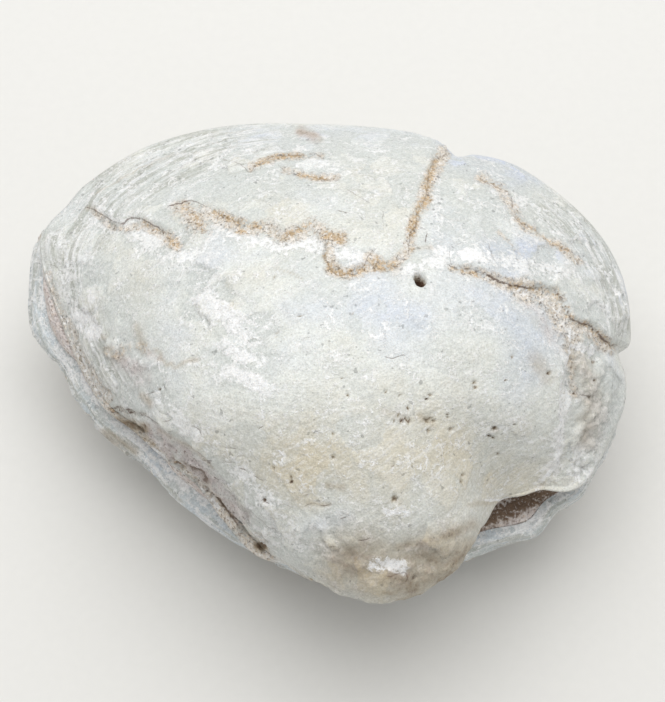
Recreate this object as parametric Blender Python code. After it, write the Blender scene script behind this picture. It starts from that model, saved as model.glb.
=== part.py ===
"""Opalised fossil clam, closed and lying on the worn underside of its lower valve.

Three pieces: an upper valve, a lower valve that has slipped a little to the left and towards
the beaks, and the packed grit that fills the seam between them.

Lengths are millimetres until the pieces are laid down, which turns them into metres.
In the shell's own frame x runs along its length, y runs from the beaks to the open margin,
and z runs out of the upper valve. The plane z = 0 is the middle of the seam.
"""

import bmesh
import bpy
import numpy as np
from math import cos, pi, radians, sin

MM = 0.001

# How the shell lies: open margin raised, on a flat worn off the lower valve
TILT = 6.0
REST_HEIGHT = 20.0
CENTRE_X = -1.02
CENTRE_Y = -1.84

# The seam is a wedge, wider at the beaks and at the left
SEAM_WIDTH = 2.2
SEAM_PER_X = -0.010
SEAM_PER_Y = -0.034
GAP = 0.3

# Surface routes are given where they cross the plane z = 0 when seen from this point
SIGHT = (0.0, -80.4, 220.8)

# Upper valve
UPPER_APEX = (4.0, -10.0)
UPPER_HEIGHT = 24.0
PLAIN_EDGE = 0.8
# Height of the broken edge over the seam face and how far the face stands in under it, by
# direction: a piece is broken out of the lower right, which leaves a hollow under a sharp lip
EDGE_HEIGHT = (
    (-44.0, 0.8), (-37.0, 2.6), (-31.0, 4.6), (-24.0, 4.4), (-18.0, 2.2), (-13.0, 0.8),
    (0.0, 0.8), (180.0, 0.8),
)
EDGE_UNDERCUT = (
    (-44.0, 0.0), (-37.0, 3.0), (-31.0, 4.8), (-24.0, 4.6), (-18.0, 2.0), (-13.0, 0.0),
    (0.0, 0.0), (180.0, 0.0),
)
# The rim as seen from SIGHT against the plane z = 0, and the height it really stands at
UPPER_RIM_HEIGHT = 1.8
UPPER_RIM = (
    (42.6, 3.5), (42.5, 8.3), (41.5, 13.0), (39.5, 17.5), (36.7, 21.4), (33.5, 24.7),
    (29.9, 27.7), (26.2, 30.0), (21.2, 31.3), (18.6, 30.8), (17.2, 32.2), (14.5, 34.1),
    (10.5, 35.3), (3.4, 36.1), (-4.1, 36.4), (-12.0, 36.4), (-20.2, 35.1), (-28.6, 32.0),
    (-36.2, 26.4), (-39.2, 22.5), (-41.3, 20.0), (-42.3, 17.5), (-42.0, 14.5), (-41.0, 11.0),
    (-38.1, 4.0), (-34.6, -3.2), (-31.0, -8.5), (-26.5, -11.6), (-21.4, -15.7), (-17.0, -19.0),
    (-13.8, -23.2), (-9.7, -28.5), (-6.5, -30.5), (-3.0, -31.8), (1.0, -31.8), (7.5, -31.0),
    (14.0, -28.8), (20.2, -26.0), (22.6, -22.8), (25.8, -22.2), (29.0, -20.2), (30.4, -21.6),
    (32.2, -22.0), (34.5, -20.1), (36.8, -16.7), (39.0, -12.6), (41.0, -8.1), (41.4, -3.8),
    (40.5, -0.4), (42.2, 0.9),
)
# How square the valve's section is by direction: 1 stands upright at the rim, 2 slopes to it
UPPER_SLOPE = (
    (-34.0, 1.1), (-18.0, 1.3), (5.0, 1.5), (40.0, 1.8), (90.0, 1.9), (130.0, 1.9),
    (152.0, 1.7), (170.0, 1.35), (184.0, 1.0), (198.0, 0.85), (234.0, 0.9), (262.0, 1.0),
)
# How far the beak side stands out over the hinge, by direction, and where it is widest
BEAK_OVERHANG = (
    (-150.0, 0.3), (-135.0, 0.6), (-122.0, 1.4), (-108.0, 3.4), (-95.0, 6.6), (-83.0, 8.6),
    (-70.0, 8.0), (-58.0, 5.4), (-46.0, 0.6), (-36.0, -3.2), (-24.0, -3.0), (-12.0, 0.0),
    (180.0, 0.0),
)
BEAK_LEVEL = 2.2

# Lower valve
LOWER_APEX = (1.5, 0.0)
LOWER_DEPTH = 21.0
LOWER_GIRTH = 3.5
LOWER_RIM = (
    (-44.2, 15.2), (-44.3, 9.8), (-43.8, 5.4), (-42.6, 2.6), (-41.0, 0.4), (-39.2, -1.4),
    (-37.3, -5.1), (-33.7, -9.8), (-30.4, -12.7), (-25.6, -17.0), (-23.8, -19.4), (-19.8, -22.7),
    (-14.6, -26.4), (-9.8, -28.9), (-4.0, -31.3), (3.0, -32.8), (10.0, -32.6), (17.3, -29.9),
    (23.2, -27.7), (28.6, -26.2), (31.4, -23.0), (35.1, -20.4), (37.6, -16.5), (39.8, -12.8),
    (41.0, -8.6), (40.6, -3.0), (40.2, 4.0), (39.0, 12.0), (34.5, 20.5), (28.0, 26.0),
    (20.0, 29.8), (10.0, 32.8), (-2.0, 33.8), (-14.0, 33.2), (-25.0, 30.2), (-34.0, 25.6),
    (-40.5, 22.2), (-43.2, 19.4),
)
LOWER_SLOPE = (
    (-60.0, 1.0), (-20.0, 1.3), (10.0, 1.6), (60.0, 1.8), (120.0, 1.9), (160.0, 1.6),
    (200.0, 1.25), (240.0, 1.0), (270.0, 0.9),
)
# How far the lower valve's edge rolls in above its widest line, by direction
LOWER_ROLL = (
    (-50.0, 1.6), (-20.0, 1.4), (20.0, 1.2), (90.0, 1.2), (130.0, 1.6), (155.0, 2.6),
    (200.0, 2.4), (240.0, 1.8), (270.0, 1.5),
)
ROLL_STEPS = 2

# Packed grit: how far its top stands in from the upper rim and its foot in from the lower rim
GRIT_TOP_INSET = (
    (-62.0, 2.0), (-54.0, 3.0), (-47.0, 5.2), (-42.0, 5.6), (-35.0, 5.0), (-28.0, 3.0),
    (-15.0, 1.5), (30.0, 0.9),
    (90.0, 0.9), (130.0, 0.5), (150.0, -0.9), (180.0, -1.3), (230.0, -0.9), (255.0, 0.8),
    (280.0, 1.5),
)
GRIT_FOOT_INSET = (
    (-58.0, 1.2), (-33.0, 0.9), (-5.0, 1.2), (30.0, 0.7), (90.0, 0.7), (130.0, 0.6),
    (150.0, 0.5), (180.0, 0.6), (230.0, 0.6), (255.0, 1.0), (280.0, 1.5),
)
GRIT_BULGE = 0.35
GRIT_POINTS = 120

# Broken plates of the shell's outer layer: a route with the raised plate on its left,
# how high the plate stands there and how far back from the edge it stays raised
LEDGES = (
    (((-22.9, 16.2), (-25.2, 18.2), (-28.1, 19.0), (-31.3, 19.0), (-36.5, 22.5)), -0.7, 9.0),
    (((-17.9, 20.1), (-12.0, 18.0), (-6.9, 16.4), (-1.8, 19.1), (0.4, 13.7), (4.7, 11.4),
      (8.8, 14.5)), 0.8, 8.0),
    (((10.5, 13.7), (12.0, 18.0), (13.6, 23.6), (15.2, 29.3), (16.6, 32.0)), 0.6, 4.0),
    (((16.6, 14.0), (19.9, 12.5), (24.9, 10.1), (29.9, 9.7), (33.4, 7.0), (38.1, 2.0),
      (41.0, -0.6)), 1.3, 11.0),
    (((35.0, 2.4), (32.2, -2.9), (30.5, -9.5), (30.2, -14.6), (29.0, -20.0)), -0.9, 9.0),
    (((-31.2, -8.5), (-26.2, -9.6), (-21.5, -12.0), (-18.3, -14.2), (-12.5, -21.4),
      (-7.8, -26.0)), 0.6, 5.0),
)
# Broad bulges and hollows: x, y, half-width along x and along y, height
SWELLS = (
    (-13.0, -10.0, 12.0, 9.0, 1.0),
    (26.0, -12.0, 9.0, 9.0, -0.6),
    (10.0, -29.0, 7.0, 5.0, -0.6),
)
PIT = (12.6, 11.2, 1.2, 1.6, -0.9)

UPPER_CELLS = 44
LOWER_CELLS = 34

TURN = np.arange(0.0, 360.0, 0.5)


def clear_scene():
    """Take every object out of the open file."""
    for item in list(bpy.data.objects):
        bpy.data.objects.remove(item, do_unlink=True)


def smooth_loop(points, steps=16):
    """Points along a smooth closed curve through the given points."""
    here = np.array(points, dtype=float)
    there = np.roll(here, -1, axis=0)
    span = np.sqrt(np.linalg.norm(there - here, axis=1))[:, None]
    slope = (there - np.roll(here, 1, axis=0)) / (span + np.roll(span, 1, axis=0))
    rows = []
    for t in np.arange(steps) / steps:
        start = here * (2 * t**3 - 3 * t**2 + 1) + span * slope * (t**3 - 2 * t**2 + t)
        end = there * (3 * t**2 - 2 * t**3) + span * np.roll(slope, -1, axis=0) * (t**3 - t**2)
        rows.append(start + end)
    return np.stack(rows, axis=1).reshape(-1, 2)


def radius_table(points, centre):
    """Radius of a closed outline about a centre, at each angle of TURN."""
    away = smooth_loop(points) - np.array(centre)
    angle = np.degrees(np.arctan2(away[:, 1], away[:, 0]))
    return np.interp(TURN, angle, np.hypot(away[:, 0], away[:, 1]), period=360.0)


def true_place(points, height):
    """Where outline points seen from SIGHT against z = 0 are, if they stand at a height."""
    share = 1 - height / SIGHT[2]
    return [(SIGHT[0] + (x - SIGHT[0]) * share, SIGHT[1] + (y - SIGHT[1]) * share)
            for x, y in points]


def soften(table, degrees):
    """A table over the full turn, evened out over a number of degrees."""
    apart = np.abs(TURN[:, None] - TURN[None, :])
    apart = np.minimum(apart, 360.0 - apart)
    weight = np.exp(-((apart / degrees) ** 2))
    return weight @ table / weight.sum(axis=1)


def station_table(stations, degrees=9.0):
    """Values given at a few directions, blended smoothly over the full turn."""
    angles = [angle for angle, value in stations]
    values = [value for angle, value in stations]
    return soften(np.interp(TURN, angles, values, period=360.0), degrees)


def around(theta, table):
    """Value of a table in the direction theta, in radians."""
    return np.interp(np.degrees(theta), TURN, table, period=360.0)


UPPER_RADIUS = radius_table(true_place(UPPER_RIM, UPPER_RIM_HEIGHT), UPPER_APEX)
UPPER_SOFT = soften(UPPER_RADIUS, 24.0)
UPPER_POWER = station_table(UPPER_SLOPE)
UPPER_BEAK = station_table(BEAK_OVERHANG)
UPPER_EDGE = station_table(EDGE_HEIGHT, 3.0)
UPPER_UNDERCUT = station_table(EDGE_UNDERCUT, 3.0)
LOWER_RADIUS = radius_table(LOWER_RIM, LOWER_APEX)
LOWER_SOFT = soften(LOWER_RADIUS, 14.0)
LOWER_POWER = station_table(LOWER_SLOPE)
LOWER_ROLL_IN = station_table(LOWER_ROLL)


def seam_half(x, y):
    """Height of the upper valve's flat face above the middle of the seam."""
    return (SEAM_WIDTH + SEAM_PER_X * x + SEAM_PER_Y * y) / 2


def seen(points):
    """Where points of the surface cross the plane z = 0 when seen from SIGHT."""
    scale = SIGHT[2] / (SIGHT[2] - points[:, 2])
    x = SIGHT[0] + (points[:, 0] - SIGHT[0]) * scale
    y = SIGHT[1] + (points[:, 1] - SIGHT[1]) * scale
    return x, y


def along_route(x, y, route):
    """Distance to a route, positive on its left, and a share that fades out at its ends."""
    nearest = np.full(x.shape, np.inf)
    signed = np.zeros(x.shape)
    travelled = np.zeros(x.shape)
    start = 0.0
    for (ax, ay), (bx, by) in zip(route, route[1:]):
        dx, dy = bx - ax, by - ay
        length = np.hypot(dx, dy)
        share = np.clip(((x - ax) * dx + (y - ay) * dy) / length**2, 0.0, 1.0)
        off_x, off_y = x - ax - share * dx, y - ay - share * dy
        distance = np.hypot(off_x, off_y)
        closer = distance < nearest
        nearest = np.where(closer, distance, nearest)
        signed = np.where(closer, distance * np.sign(dx * off_y - dy * off_x), signed)
        travelled = np.where(closer, start + share * length, travelled)
        start += length
    fade = np.clip(np.minimum(travelled, start - travelled) / (0.12 * start), 0.0, 1.0)
    return signed, fade * fade * (3 - 2 * fade)


def swell(x, y, shape):
    """A smooth bulge or hollow."""
    centre_x, centre_y, wide, deep, height = shape
    return height * np.exp(-(((x - centre_x) / wide) ** 2) - (((y - centre_y) / deep) ** 2))


def upper_relief(x, y):
    """Height of the broken plates, swells and pit over the upper valve's plain form."""
    height = sum(swell(x, y, shape) for shape in SWELLS + (PIT,))
    for route, rise, reach in LEDGES:
        signed, fade = along_route(x, y, route)
        inside = signed * np.sign(rise)
        raised = 1 / (1 + np.exp(-np.clip(inside / 0.35, -40, 40)))
        height = height + abs(rise) * fade * raised * np.exp(-np.maximum(inside, 0) / reach)
    return height


def valve_section(reach, power):
    """Share of the radius and share of the height along a section, from apex to rim."""
    round_share = np.minimum(2.0 - power, 1.0)
    out = (1 - round_share) * reach + round_share * np.sin(reach * pi / 2)
    return out, np.clip(1 - out**2, 0.0, 1.0) ** (power / 2)


def upper_form(theta, reach):
    """Plain form of the upper valve at a direction and a share of the way to the rim."""
    soft = around(theta, UPPER_SOFT)
    radius = soft + (around(theta, UPPER_RADIUS) - soft) * reach**10
    out, lift = valve_section(reach, around(theta, UPPER_POWER))
    beak = around(theta, UPPER_BEAK) * np.sin(pi * reach**BEAK_LEVEL)
    x = UPPER_APEX[0] + (radius * out + beak) * np.cos(theta)
    y = UPPER_APEX[1] + (radius * out + beak) * np.sin(theta)
    broken = (around(theta, UPPER_EDGE) - PLAIN_EDGE) * reach**12
    base = seam_half(x, y) + PLAIN_EDGE + broken
    return np.column_stack((x, y, base + (UPPER_HEIGHT - base) * lift))


def upper_surface(theta, reach):
    """Upper valve with its broken plates, moved along the surface's own direction."""
    step = 0.01
    plain = upper_form(theta, reach)
    across = upper_form(theta + step, reach) - upper_form(theta - step, reach)
    inner = np.maximum(reach - step, 0.002)
    outward = upper_form(theta, inner + step) - upper_form(theta, inner)
    normal = np.cross(outward, across)
    size = np.linalg.norm(normal, axis=1)
    middle = reach < 0.002
    normal[middle] = (0.0, 0.0, 1.0)
    size[middle] = 1.0
    normal /= np.maximum(size, 1e-9)[:, None]
    held = np.clip((1.0 - reach) / 0.03, 0.0, 1.0)[:, None]
    return plain + normal * upper_relief(*seen(plain))[:, None] * held


def lower_surface(theta, reach):
    """Underside of the lower valve, from its deepest point to its widest line."""
    soft = around(theta, LOWER_SOFT)
    radius = soft + (around(theta, LOWER_RADIUS) - soft) * reach**10
    out, lift = valve_section(reach, around(theta, LOWER_POWER))
    x = LOWER_APEX[0] + radius * out * np.cos(theta)
    y = LOWER_APEX[1] + radius * out * np.sin(theta)
    return np.column_stack((x, y, -LOWER_GIRTH - (LOWER_DEPTH - LOWER_GIRTH) * lift))


def disc_grid(cells):
    """Direction and share of the radius of a square grid pressed into a disc."""
    line = np.linspace(-1.0, 1.0, cells + 1)
    u, v = (part.ravel() for part in np.meshgrid(line, line))
    wide = np.abs(u) >= np.abs(v)
    longer = np.where(wide, u, v)
    safe = np.where(longer == 0.0, 1.0, longer)
    angle = np.where(wide, pi / 4 * v / safe, pi / 2 - pi / 4 * u / safe)
    x = longer * np.cos(angle)
    y = longer * np.sin(angle)
    return np.arctan2(y, x), np.hypot(x, y)


def grid_faces(cells):
    """Quads of the square grid and the loop of its outer points, both counter-clockwise."""
    side = cells + 1
    index = np.arange(side * side).reshape(side, side)
    corners = (index[:-1, :-1], index[:-1, 1:], index[1:, 1:], index[1:, :-1])
    faces = np.stack([corner.ravel() for corner in corners], axis=1).tolist()
    loop = np.concatenate((index[0, :-1], index[:-1, -1], index[-1, :0:-1], index[:0:-1, 0]))
    return faces, loop


def wall_faces(upper_loop, lower_loop):
    """Quads between two loops, facing away from their middle."""
    return np.stack((upper_loop, lower_loop, np.roll(lower_loop, -1), np.roll(upper_loop, -1)),
                    axis=1).tolist()


def lay_down(points):
    """Shell frame in millimetres to the laid position in metres."""
    lean = radians(TILT)
    x, y, z = points.T
    laid = (x - CENTRE_X, y * cos(lean) - z * sin(lean) - CENTRE_Y,
            y * sin(lean) + z * cos(lean) + REST_HEIGHT)
    return np.column_stack(laid) * MM


def stone(name, colour, roughness, coat):
    """A plain stone finish."""
    material = bpy.data.materials.new(name)
    material.use_nodes = True
    finish = material.node_tree.nodes["Principled BSDF"]
    finish.inputs["Base Color"].default_value = (*colour, 1.0)
    finish.inputs["Roughness"].default_value = roughness
    finish.inputs["Metallic"].default_value = 0.0
    finish.inputs["Coat Weight"].default_value = coat
    material.diffuse_color = (*colour, 1.0)
    return material


def add_piece(name, points, faces, material):
    """An object from points in the shell frame."""
    mesh = bpy.data.meshes.new(name)
    mesh.from_pydata(lay_down(points).tolist(), [], faces)
    mesh.materials.append(material)
    piece = bpy.data.objects.new(name, mesh)
    bpy.context.scene.collection.objects.link(piece)
    mesh.validate()
    mesh.shade_smooth()
    return piece


def make_upper_valve():
    """Domed valve on top, flat on the seam side."""
    theta, reach = disc_grid(UPPER_CELLS)
    faces, loop = grid_faces(UPPER_CELLS)
    points = upper_surface(theta, reach)
    foot = points[loop].copy()
    foot[:, 0] -= around(theta[loop], UPPER_UNDERCUT) * np.cos(theta[loop])
    foot[:, 1] -= around(theta[loop], UPPER_UNDERCUT) * np.sin(theta[loop])
    foot[:, 2] = seam_half(foot[:, 0], foot[:, 1])
    foot_loop = np.arange(len(loop)) + len(points)
    faces += wall_faces(loop, foot_loop)
    faces.append(foot_loop[::-1].tolist())
    return add_piece("upper_valve", np.vstack((points, foot)), faces,
                     stone("satin opal, pale grey-green", (0.66, 0.67, 0.61), 0.42, 0.1))


def make_lower_valve():
    """Deep valve underneath, its edge rolled in to a flat seam face, worn flat where it lies."""
    theta, reach = disc_grid(LOWER_CELLS)
    faces, loop = grid_faces(LOWER_CELLS)
    points = lower_surface(theta, reach)
    faces = [face[::-1] for face in faces]
    rim = points[loop]
    outward = rim[:, :2] - np.array(LOWER_APEX)
    outward /= np.linalg.norm(outward, axis=1)[:, None]
    roll = around(theta[loop], LOWER_ROLL_IN)
    rings = [points]
    last = loop
    for step in range(1, ROLL_STEPS + 1):
        turn = pi / 2 * step / ROLL_STEPS
        ring = rim.copy()
        ring[:, :2] -= outward * (roll * (1 - cos(turn)))[:, None]
        top = -seam_half(ring[:, 0], ring[:, 1])
        ring[:, 2] = -LOWER_GIRTH + (top + LOWER_GIRTH) * sin(turn)
        ring_loop = np.arange(len(loop)) + sum(len(part) for part in rings)
        faces += wall_faces(ring_loop, last)
        rings.append(ring)
        last = ring_loop
    faces.append(last.tolist())
    piece = add_piece("lower_valve", np.vstack(rings), faces,
                      stone("satin opal, bluish white", (0.60, 0.63, 0.64), 0.38, 0.15))
    wear_flat(piece.data)
    return piece


def wear_flat(mesh):
    """Cut the mesh off at the height it lies on and close it with one flat face."""
    bm = bmesh.new()
    bm.from_mesh(mesh)
    everything = bm.verts[:] + bm.edges[:] + bm.faces[:]
    cut = bmesh.ops.bisect_plane(bm, geom=everything, dist=1e-6, plane_co=(0, 0, 0),
                                 plane_no=(0, 0, 1), clear_inner=True)
    rim = [item for item in cut["geom_cut"] if isinstance(item, bmesh.types.BMEdge)]
    for corner in {corner for edge in rim for corner in edge.verts}:
        corner.co.z = 0.0
    bmesh.ops.holes_fill(bm, edges=rim, sides=0)
    bmesh.ops.recalc_face_normals(bm, faces=bm.faces[:])
    bm.to_mesh(mesh)
    bm.free()


def grit_ring(radius, theta, height_share):
    """One loop of the grit, between the two seam faces."""
    x = radius * np.cos(theta)
    y = radius * np.sin(theta)
    return np.column_stack((x, y, (seam_half(x, y) - GAP) * height_share))


def make_grit():
    """Thin wedge of packed grit, standing proud on the lower valve's shelf at the left."""
    theta = np.arange(GRIT_POINTS) * 2 * pi / GRIT_POINTS
    upper = around(theta, radius_table(true_place(UPPER_RIM, UPPER_RIM_HEIGHT), (0.0, 0.0)))
    lower = around(theta, radius_table(LOWER_RIM, (0.0, 0.0))) - around(theta, LOWER_ROLL_IN)
    foot = lower - around(theta, station_table(GRIT_FOOT_INSET, 4.0))
    top = np.minimum(upper - around(theta, station_table(GRIT_TOP_INSET, 4.0)), foot)
    middle = (foot + top) / 2 + GRIT_BULGE
    rings = [grit_ring(top, theta, 1.0), grit_ring(middle, theta, 0.1),
             grit_ring(foot, theta, -1.0)]
    loops = [np.arange(GRIT_POINTS) + GRIT_POINTS * count for count in range(3)]
    faces = wall_faces(loops[0], loops[1]) + wall_faces(loops[1], loops[2])
    faces += [loops[0].tolist(), loops[2][::-1].tolist()]
    return add_piece("grit_seam", np.vstack(rings), faces,
                     stone("packed sandy grit", (0.47, 0.38, 0.31), 0.85, 0.0))


def main():
    clear_scene()
    make_upper_valve()
    make_lower_valve()
    make_grit()


main()
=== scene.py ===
"""Finishes an opalised fossil clam: two cracked satin opal valves and the grit packed between them.

Lengths are millimetres in the shell's own frame until a piece is laid down, which turns them into
metres. In that frame x runs along the shell, y from the beaks to the open margin, and z out of the
upper valve; z = 0 is the middle of the seam. Marks that the photograph shows are placed by its
pixels, 665 by 702, and read where their sight lines cross the plane z = 0. Marks on the sides that
it doesn't show are made up. Widths of marks are millimetres, and strengths run from 0 to 1, or a
little more where a mark should fill a patch.
"""

from math import cos, pi, radians, sin
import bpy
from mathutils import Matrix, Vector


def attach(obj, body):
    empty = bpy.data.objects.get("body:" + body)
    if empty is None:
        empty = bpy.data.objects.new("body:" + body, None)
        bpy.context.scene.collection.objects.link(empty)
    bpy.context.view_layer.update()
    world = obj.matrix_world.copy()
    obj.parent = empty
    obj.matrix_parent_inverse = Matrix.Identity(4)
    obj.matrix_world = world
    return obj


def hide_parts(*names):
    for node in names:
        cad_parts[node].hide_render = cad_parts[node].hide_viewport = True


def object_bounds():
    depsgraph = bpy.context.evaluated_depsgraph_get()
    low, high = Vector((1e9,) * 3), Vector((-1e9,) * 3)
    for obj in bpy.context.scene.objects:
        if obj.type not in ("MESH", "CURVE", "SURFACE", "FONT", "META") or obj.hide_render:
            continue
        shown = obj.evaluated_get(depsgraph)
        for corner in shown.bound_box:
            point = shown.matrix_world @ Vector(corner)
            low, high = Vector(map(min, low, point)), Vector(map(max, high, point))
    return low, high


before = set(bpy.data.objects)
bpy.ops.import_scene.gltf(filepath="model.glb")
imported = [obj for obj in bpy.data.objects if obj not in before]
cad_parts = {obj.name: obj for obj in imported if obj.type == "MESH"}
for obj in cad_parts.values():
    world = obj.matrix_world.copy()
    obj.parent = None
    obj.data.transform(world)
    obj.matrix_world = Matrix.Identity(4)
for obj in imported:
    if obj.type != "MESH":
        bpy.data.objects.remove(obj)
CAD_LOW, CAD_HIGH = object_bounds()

from types import SimpleNamespace

import bpy
import numpy as np
from bpy.props import FloatProperty, FloatVectorProperty, PointerProperty
from bpy.types import Operator, Panel, PropertyGroup
from mathutils import Vector, noise

bl_info = {
    "name": "Opalised Fossil Clam",
    "version": (1, 0, 0),
    "blender": (4, 5, 0),
    "location": "3D View > Sidebar > Fossil Clam",
    "description": "Gives the packed clam its cracked opal valves, gritty seam and studio",
    "category": "Add Mesh",
}

MM = 0.001

# How the shell lies: its tilt towards the beaks in degrees, then its place in mm
TILT = 6.0
REST_HEIGHT = 20.0
CENTRE_X = -1.02
CENTRE_Y = -1.84

# The photograph's view, fitted to the outline: mm to the eye and degrees over the seam's plane
SIGHT_DISTANCE = 235.0
SIGHT_LIFT = 70.0
PIXELS_PER_MM = 7.04
IMAGE_CENTRE = (332.5, 351.0)
LENS = 84.84
SIGHT = (0.0, -SIGHT_DISTANCE * cos(radians(SIGHT_LIFT)), SIGHT_DISTANCE * sin(radians(SIGHT_LIFT)))

# The seam is a wedge, wider at the beaks and at the left
SEAM_WIDTH = 2.2
SEAM_PER_X = -0.010
SEAM_PER_Y = -0.034

# Upper valve. Most tables here and below give a value at a few directions, in degrees
UPPER_APEX = (4.0, -10.0)
UPPER_HEIGHT = 24.0
PLAIN_EDGE = 0.8
EDGE_HEIGHT = (
    (-46.0, 0.8), (-38.0, 2.6), (-31.0, 4.4), (-25.0, 4.3), (-19.0, 2.6), (-13.0, 1.2),
    (-6.0, 0.8), (180.0, 0.8),
)
# How far the edge's wall leans in under it, or out over the grit where it is negative
EDGE_UNDERCUT = (
    (-46.0, 0.0), (-38.0, 3.0), (-31.0, 4.8), (-25.0, 4.6), (-19.0, 2.2), (-12.0, 0.3),
    (-4.0, 0.0), (140.0, 0.0), (156.0, -0.7), (176.0, -0.9), (188.0, -1.7), (215.0, -1.9),
    (232.0, -1.5), (246.0, 0.0),
)
UPPER_RIM_HEIGHT = 1.8
UPPER_RIM = (
    (42.6, 3.5), (42.5, 8.3), (41.5, 13.0), (39.5, 17.5), (36.7, 21.4), (33.5, 24.7),
    (29.9, 27.7), (26.2, 30.0), (21.2, 31.3), (18.6, 30.8), (17.2, 32.2), (14.5, 34.1),
    (10.5, 35.3), (3.4, 36.1), (-4.1, 36.4), (-12.0, 36.4), (-20.2, 35.1), (-28.6, 32.0),
    (-36.2, 26.4), (-39.2, 22.5), (-41.3, 20.0), (-42.3, 17.5), (-42.0, 14.5), (-41.0, 11.0),
    (-38.1, 4.0), (-34.6, -3.2), (-31.0, -8.5), (-26.5, -11.6), (-21.4, -15.7), (-17.0, -19.0),
    (-13.8, -23.2), (-9.7, -28.5), (-6.5, -30.5), (-3.0, -31.8), (1.0, -31.8), (7.5, -31.0),
    (14.0, -28.8), (20.2, -26.0), (22.6, -22.8), (25.8, -22.2), (28.4, -21.4), (30.6, -21.6),
    (32.4, -21.4), (34.5, -20.1), (36.8, -16.7), (39.0, -12.6), (41.0, -8.1), (41.4, -3.8),
    (40.5, -0.4), (42.2, 0.9),
)
UPPER_SLOPE = (
    (-34.0, 1.1), (-18.0, 1.3), (5.0, 1.5), (40.0, 1.8), (90.0, 1.9), (130.0, 1.9),
    (152.0, 1.7), (170.0, 1.35), (184.0, 1.0), (198.0, 0.85), (234.0, 0.9), (262.0, 1.0),
)
BEAK_OVERHANG = (
    (-150.0, 0.3), (-135.0, 0.6), (-122.0, 1.4), (-108.0, 3.4), (-95.0, 6.6), (-83.0, 8.6),
    (-70.0, 8.0), (-58.0, 5.4), (-46.0, 0.6), (-36.0, -3.2), (-24.0, -3.0), (-12.0, 0.0),
    (180.0, 0.0),
)
BEAK_LEVEL = 2.2

# Lower valve
LOWER_APEX = (1.5, 0.0)
LOWER_DEPTH = 21.0
LOWER_GIRTH = 3.5
LOWER_RIM = (
    (-44.2, 15.2), (-44.3, 9.8), (-43.8, 5.4), (-42.6, 2.6), (-41.0, 0.4), (-39.2, -1.4),
    (-37.3, -5.1), (-33.7, -9.8), (-30.4, -12.7), (-25.6, -17.0), (-23.8, -19.4), (-19.8, -22.7),
    (-14.6, -26.4), (-9.8, -28.9), (-4.0, -31.3), (3.0, -32.8), (10.0, -32.6), (17.3, -29.9),
    (23.2, -27.7), (28.6, -26.2), (31.4, -23.0), (35.1, -20.4), (37.6, -16.5), (39.8, -12.8),
    (41.0, -8.6), (40.6, -3.0), (40.2, 4.0), (39.0, 12.0), (34.5, 20.5), (28.0, 26.0),
    (20.0, 29.8), (10.0, 32.8), (-2.0, 33.8), (-14.0, 33.2), (-25.0, 30.2), (-34.0, 25.6),
    (-40.5, 22.2), (-43.2, 19.4),
)
LOWER_SLOPE = (
    (-60.0, 1.0), (-20.0, 1.3), (10.0, 1.6), (60.0, 1.8), (120.0, 1.9), (160.0, 1.6),
    (200.0, 1.25), (240.0, 1.0), (270.0, 0.9),
)
LOWER_ROLL = (
    (-50.0, 1.6), (-20.0, 1.4), (20.0, 1.2), (90.0, 1.2), (130.0, 1.6), (155.0, 2.6),
    (200.0, 2.4), (240.0, 1.8), (270.0, 1.5),
)

# Packed grit
GRIT_TOP_INSET = (
    (-62.0, 2.0), (-54.0, 3.0), (-47.0, 5.2), (-42.0, 5.6), (-35.0, 5.0), (-28.0, 3.0),
    (-15.0, 1.5), (30.0, 0.9),
    (90.0, 0.9), (130.0, 0.5), (150.0, -0.9), (180.0, -1.3), (230.0, -0.9), (255.0, 0.8),
    (280.0, 1.5),
)
GRIT_FOOT_INSET = (
    (-58.0, 1.2), (-33.0, 0.9), (-5.0, 1.2), (30.0, 0.7), (90.0, 0.7), (130.0, 0.6),
    (150.0, 0.5), (180.0, 0.6), (230.0, 0.6), (255.0, 1.0), (280.0, 1.5),
)
GRIT_BULGE = 0.35

# Cracks and other lines, in pixels of the photograph
MAIN_LEFT = ((85, 206), (91, 208), (105, 216), (111, 220), (121, 224), (132, 218), (141, 219),
             (148, 223), (158, 226), (162, 232))
GRITTY_ARC = ((170, 207), (179, 204), (189, 201), (197, 202), (203, 206))
OCHRE_LEFT = ((203, 206), (215, 211), (223, 218), (237, 222), (250, 224), (268, 225))
OCHRE_MIDDLE = ((277, 233), (281, 238), (291, 233), (301, 228), (306, 221), (312, 218), (317, 225),
                (322, 232), (334, 236))
OCHRE_RIGHT = ((326, 245), (324, 256), (330, 267), (337, 274), (345, 274), (355, 273), (364, 266),
               (368, 257), (376, 249))
NEAR_VERTICAL = ((444, 156), (435, 159), (428, 173), (428, 188), (425, 200), (417, 214), (416, 226),
                 (411, 233), (409, 245), (409, 252), (397, 259), (390, 257))
TOP_SMALL = ((223, 159), (233, 163), (240, 166), (249, 172), (258, 166), (263, 163), (271, 158),
             (277, 156), (288, 155), (299, 153), (313, 152), (321, 155))
TOP_SECOND = ((279, 166), (285, 170), (295, 174), (305, 176), (313, 177), (324, 180), (336, 179))
FAINT_GREY = ((341, 187), (355, 196), (369, 204), (383, 213), (383, 229))
RIGHT_UPPER = ((481, 177), (491, 183), (501, 189), (510, 189), (512, 199), (513, 209), (516, 221),
               (523, 227), (532, 231), (541, 238), (553, 246), (565, 253), (573, 259), (575, 266))
MAIN_RIGHT = ((450, 265), (459, 268), (474, 271), (482, 274), (494, 280), (503, 284), (509, 286),
              (521, 288), (532, 289), (544, 288), (553, 291), (560, 299), (566, 310), (570, 319),
              (581, 324), (591, 326), (598, 334), (606, 341), (613, 346), (620, 347))
GRAIN_BAND = ((523, 291), (538, 295), (550, 300), (559, 314), (565, 326), (573, 334), (574, 346))
GRAIN_BRANCH = ((581, 327), (591, 332), (604, 343), (614, 350))
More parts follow.
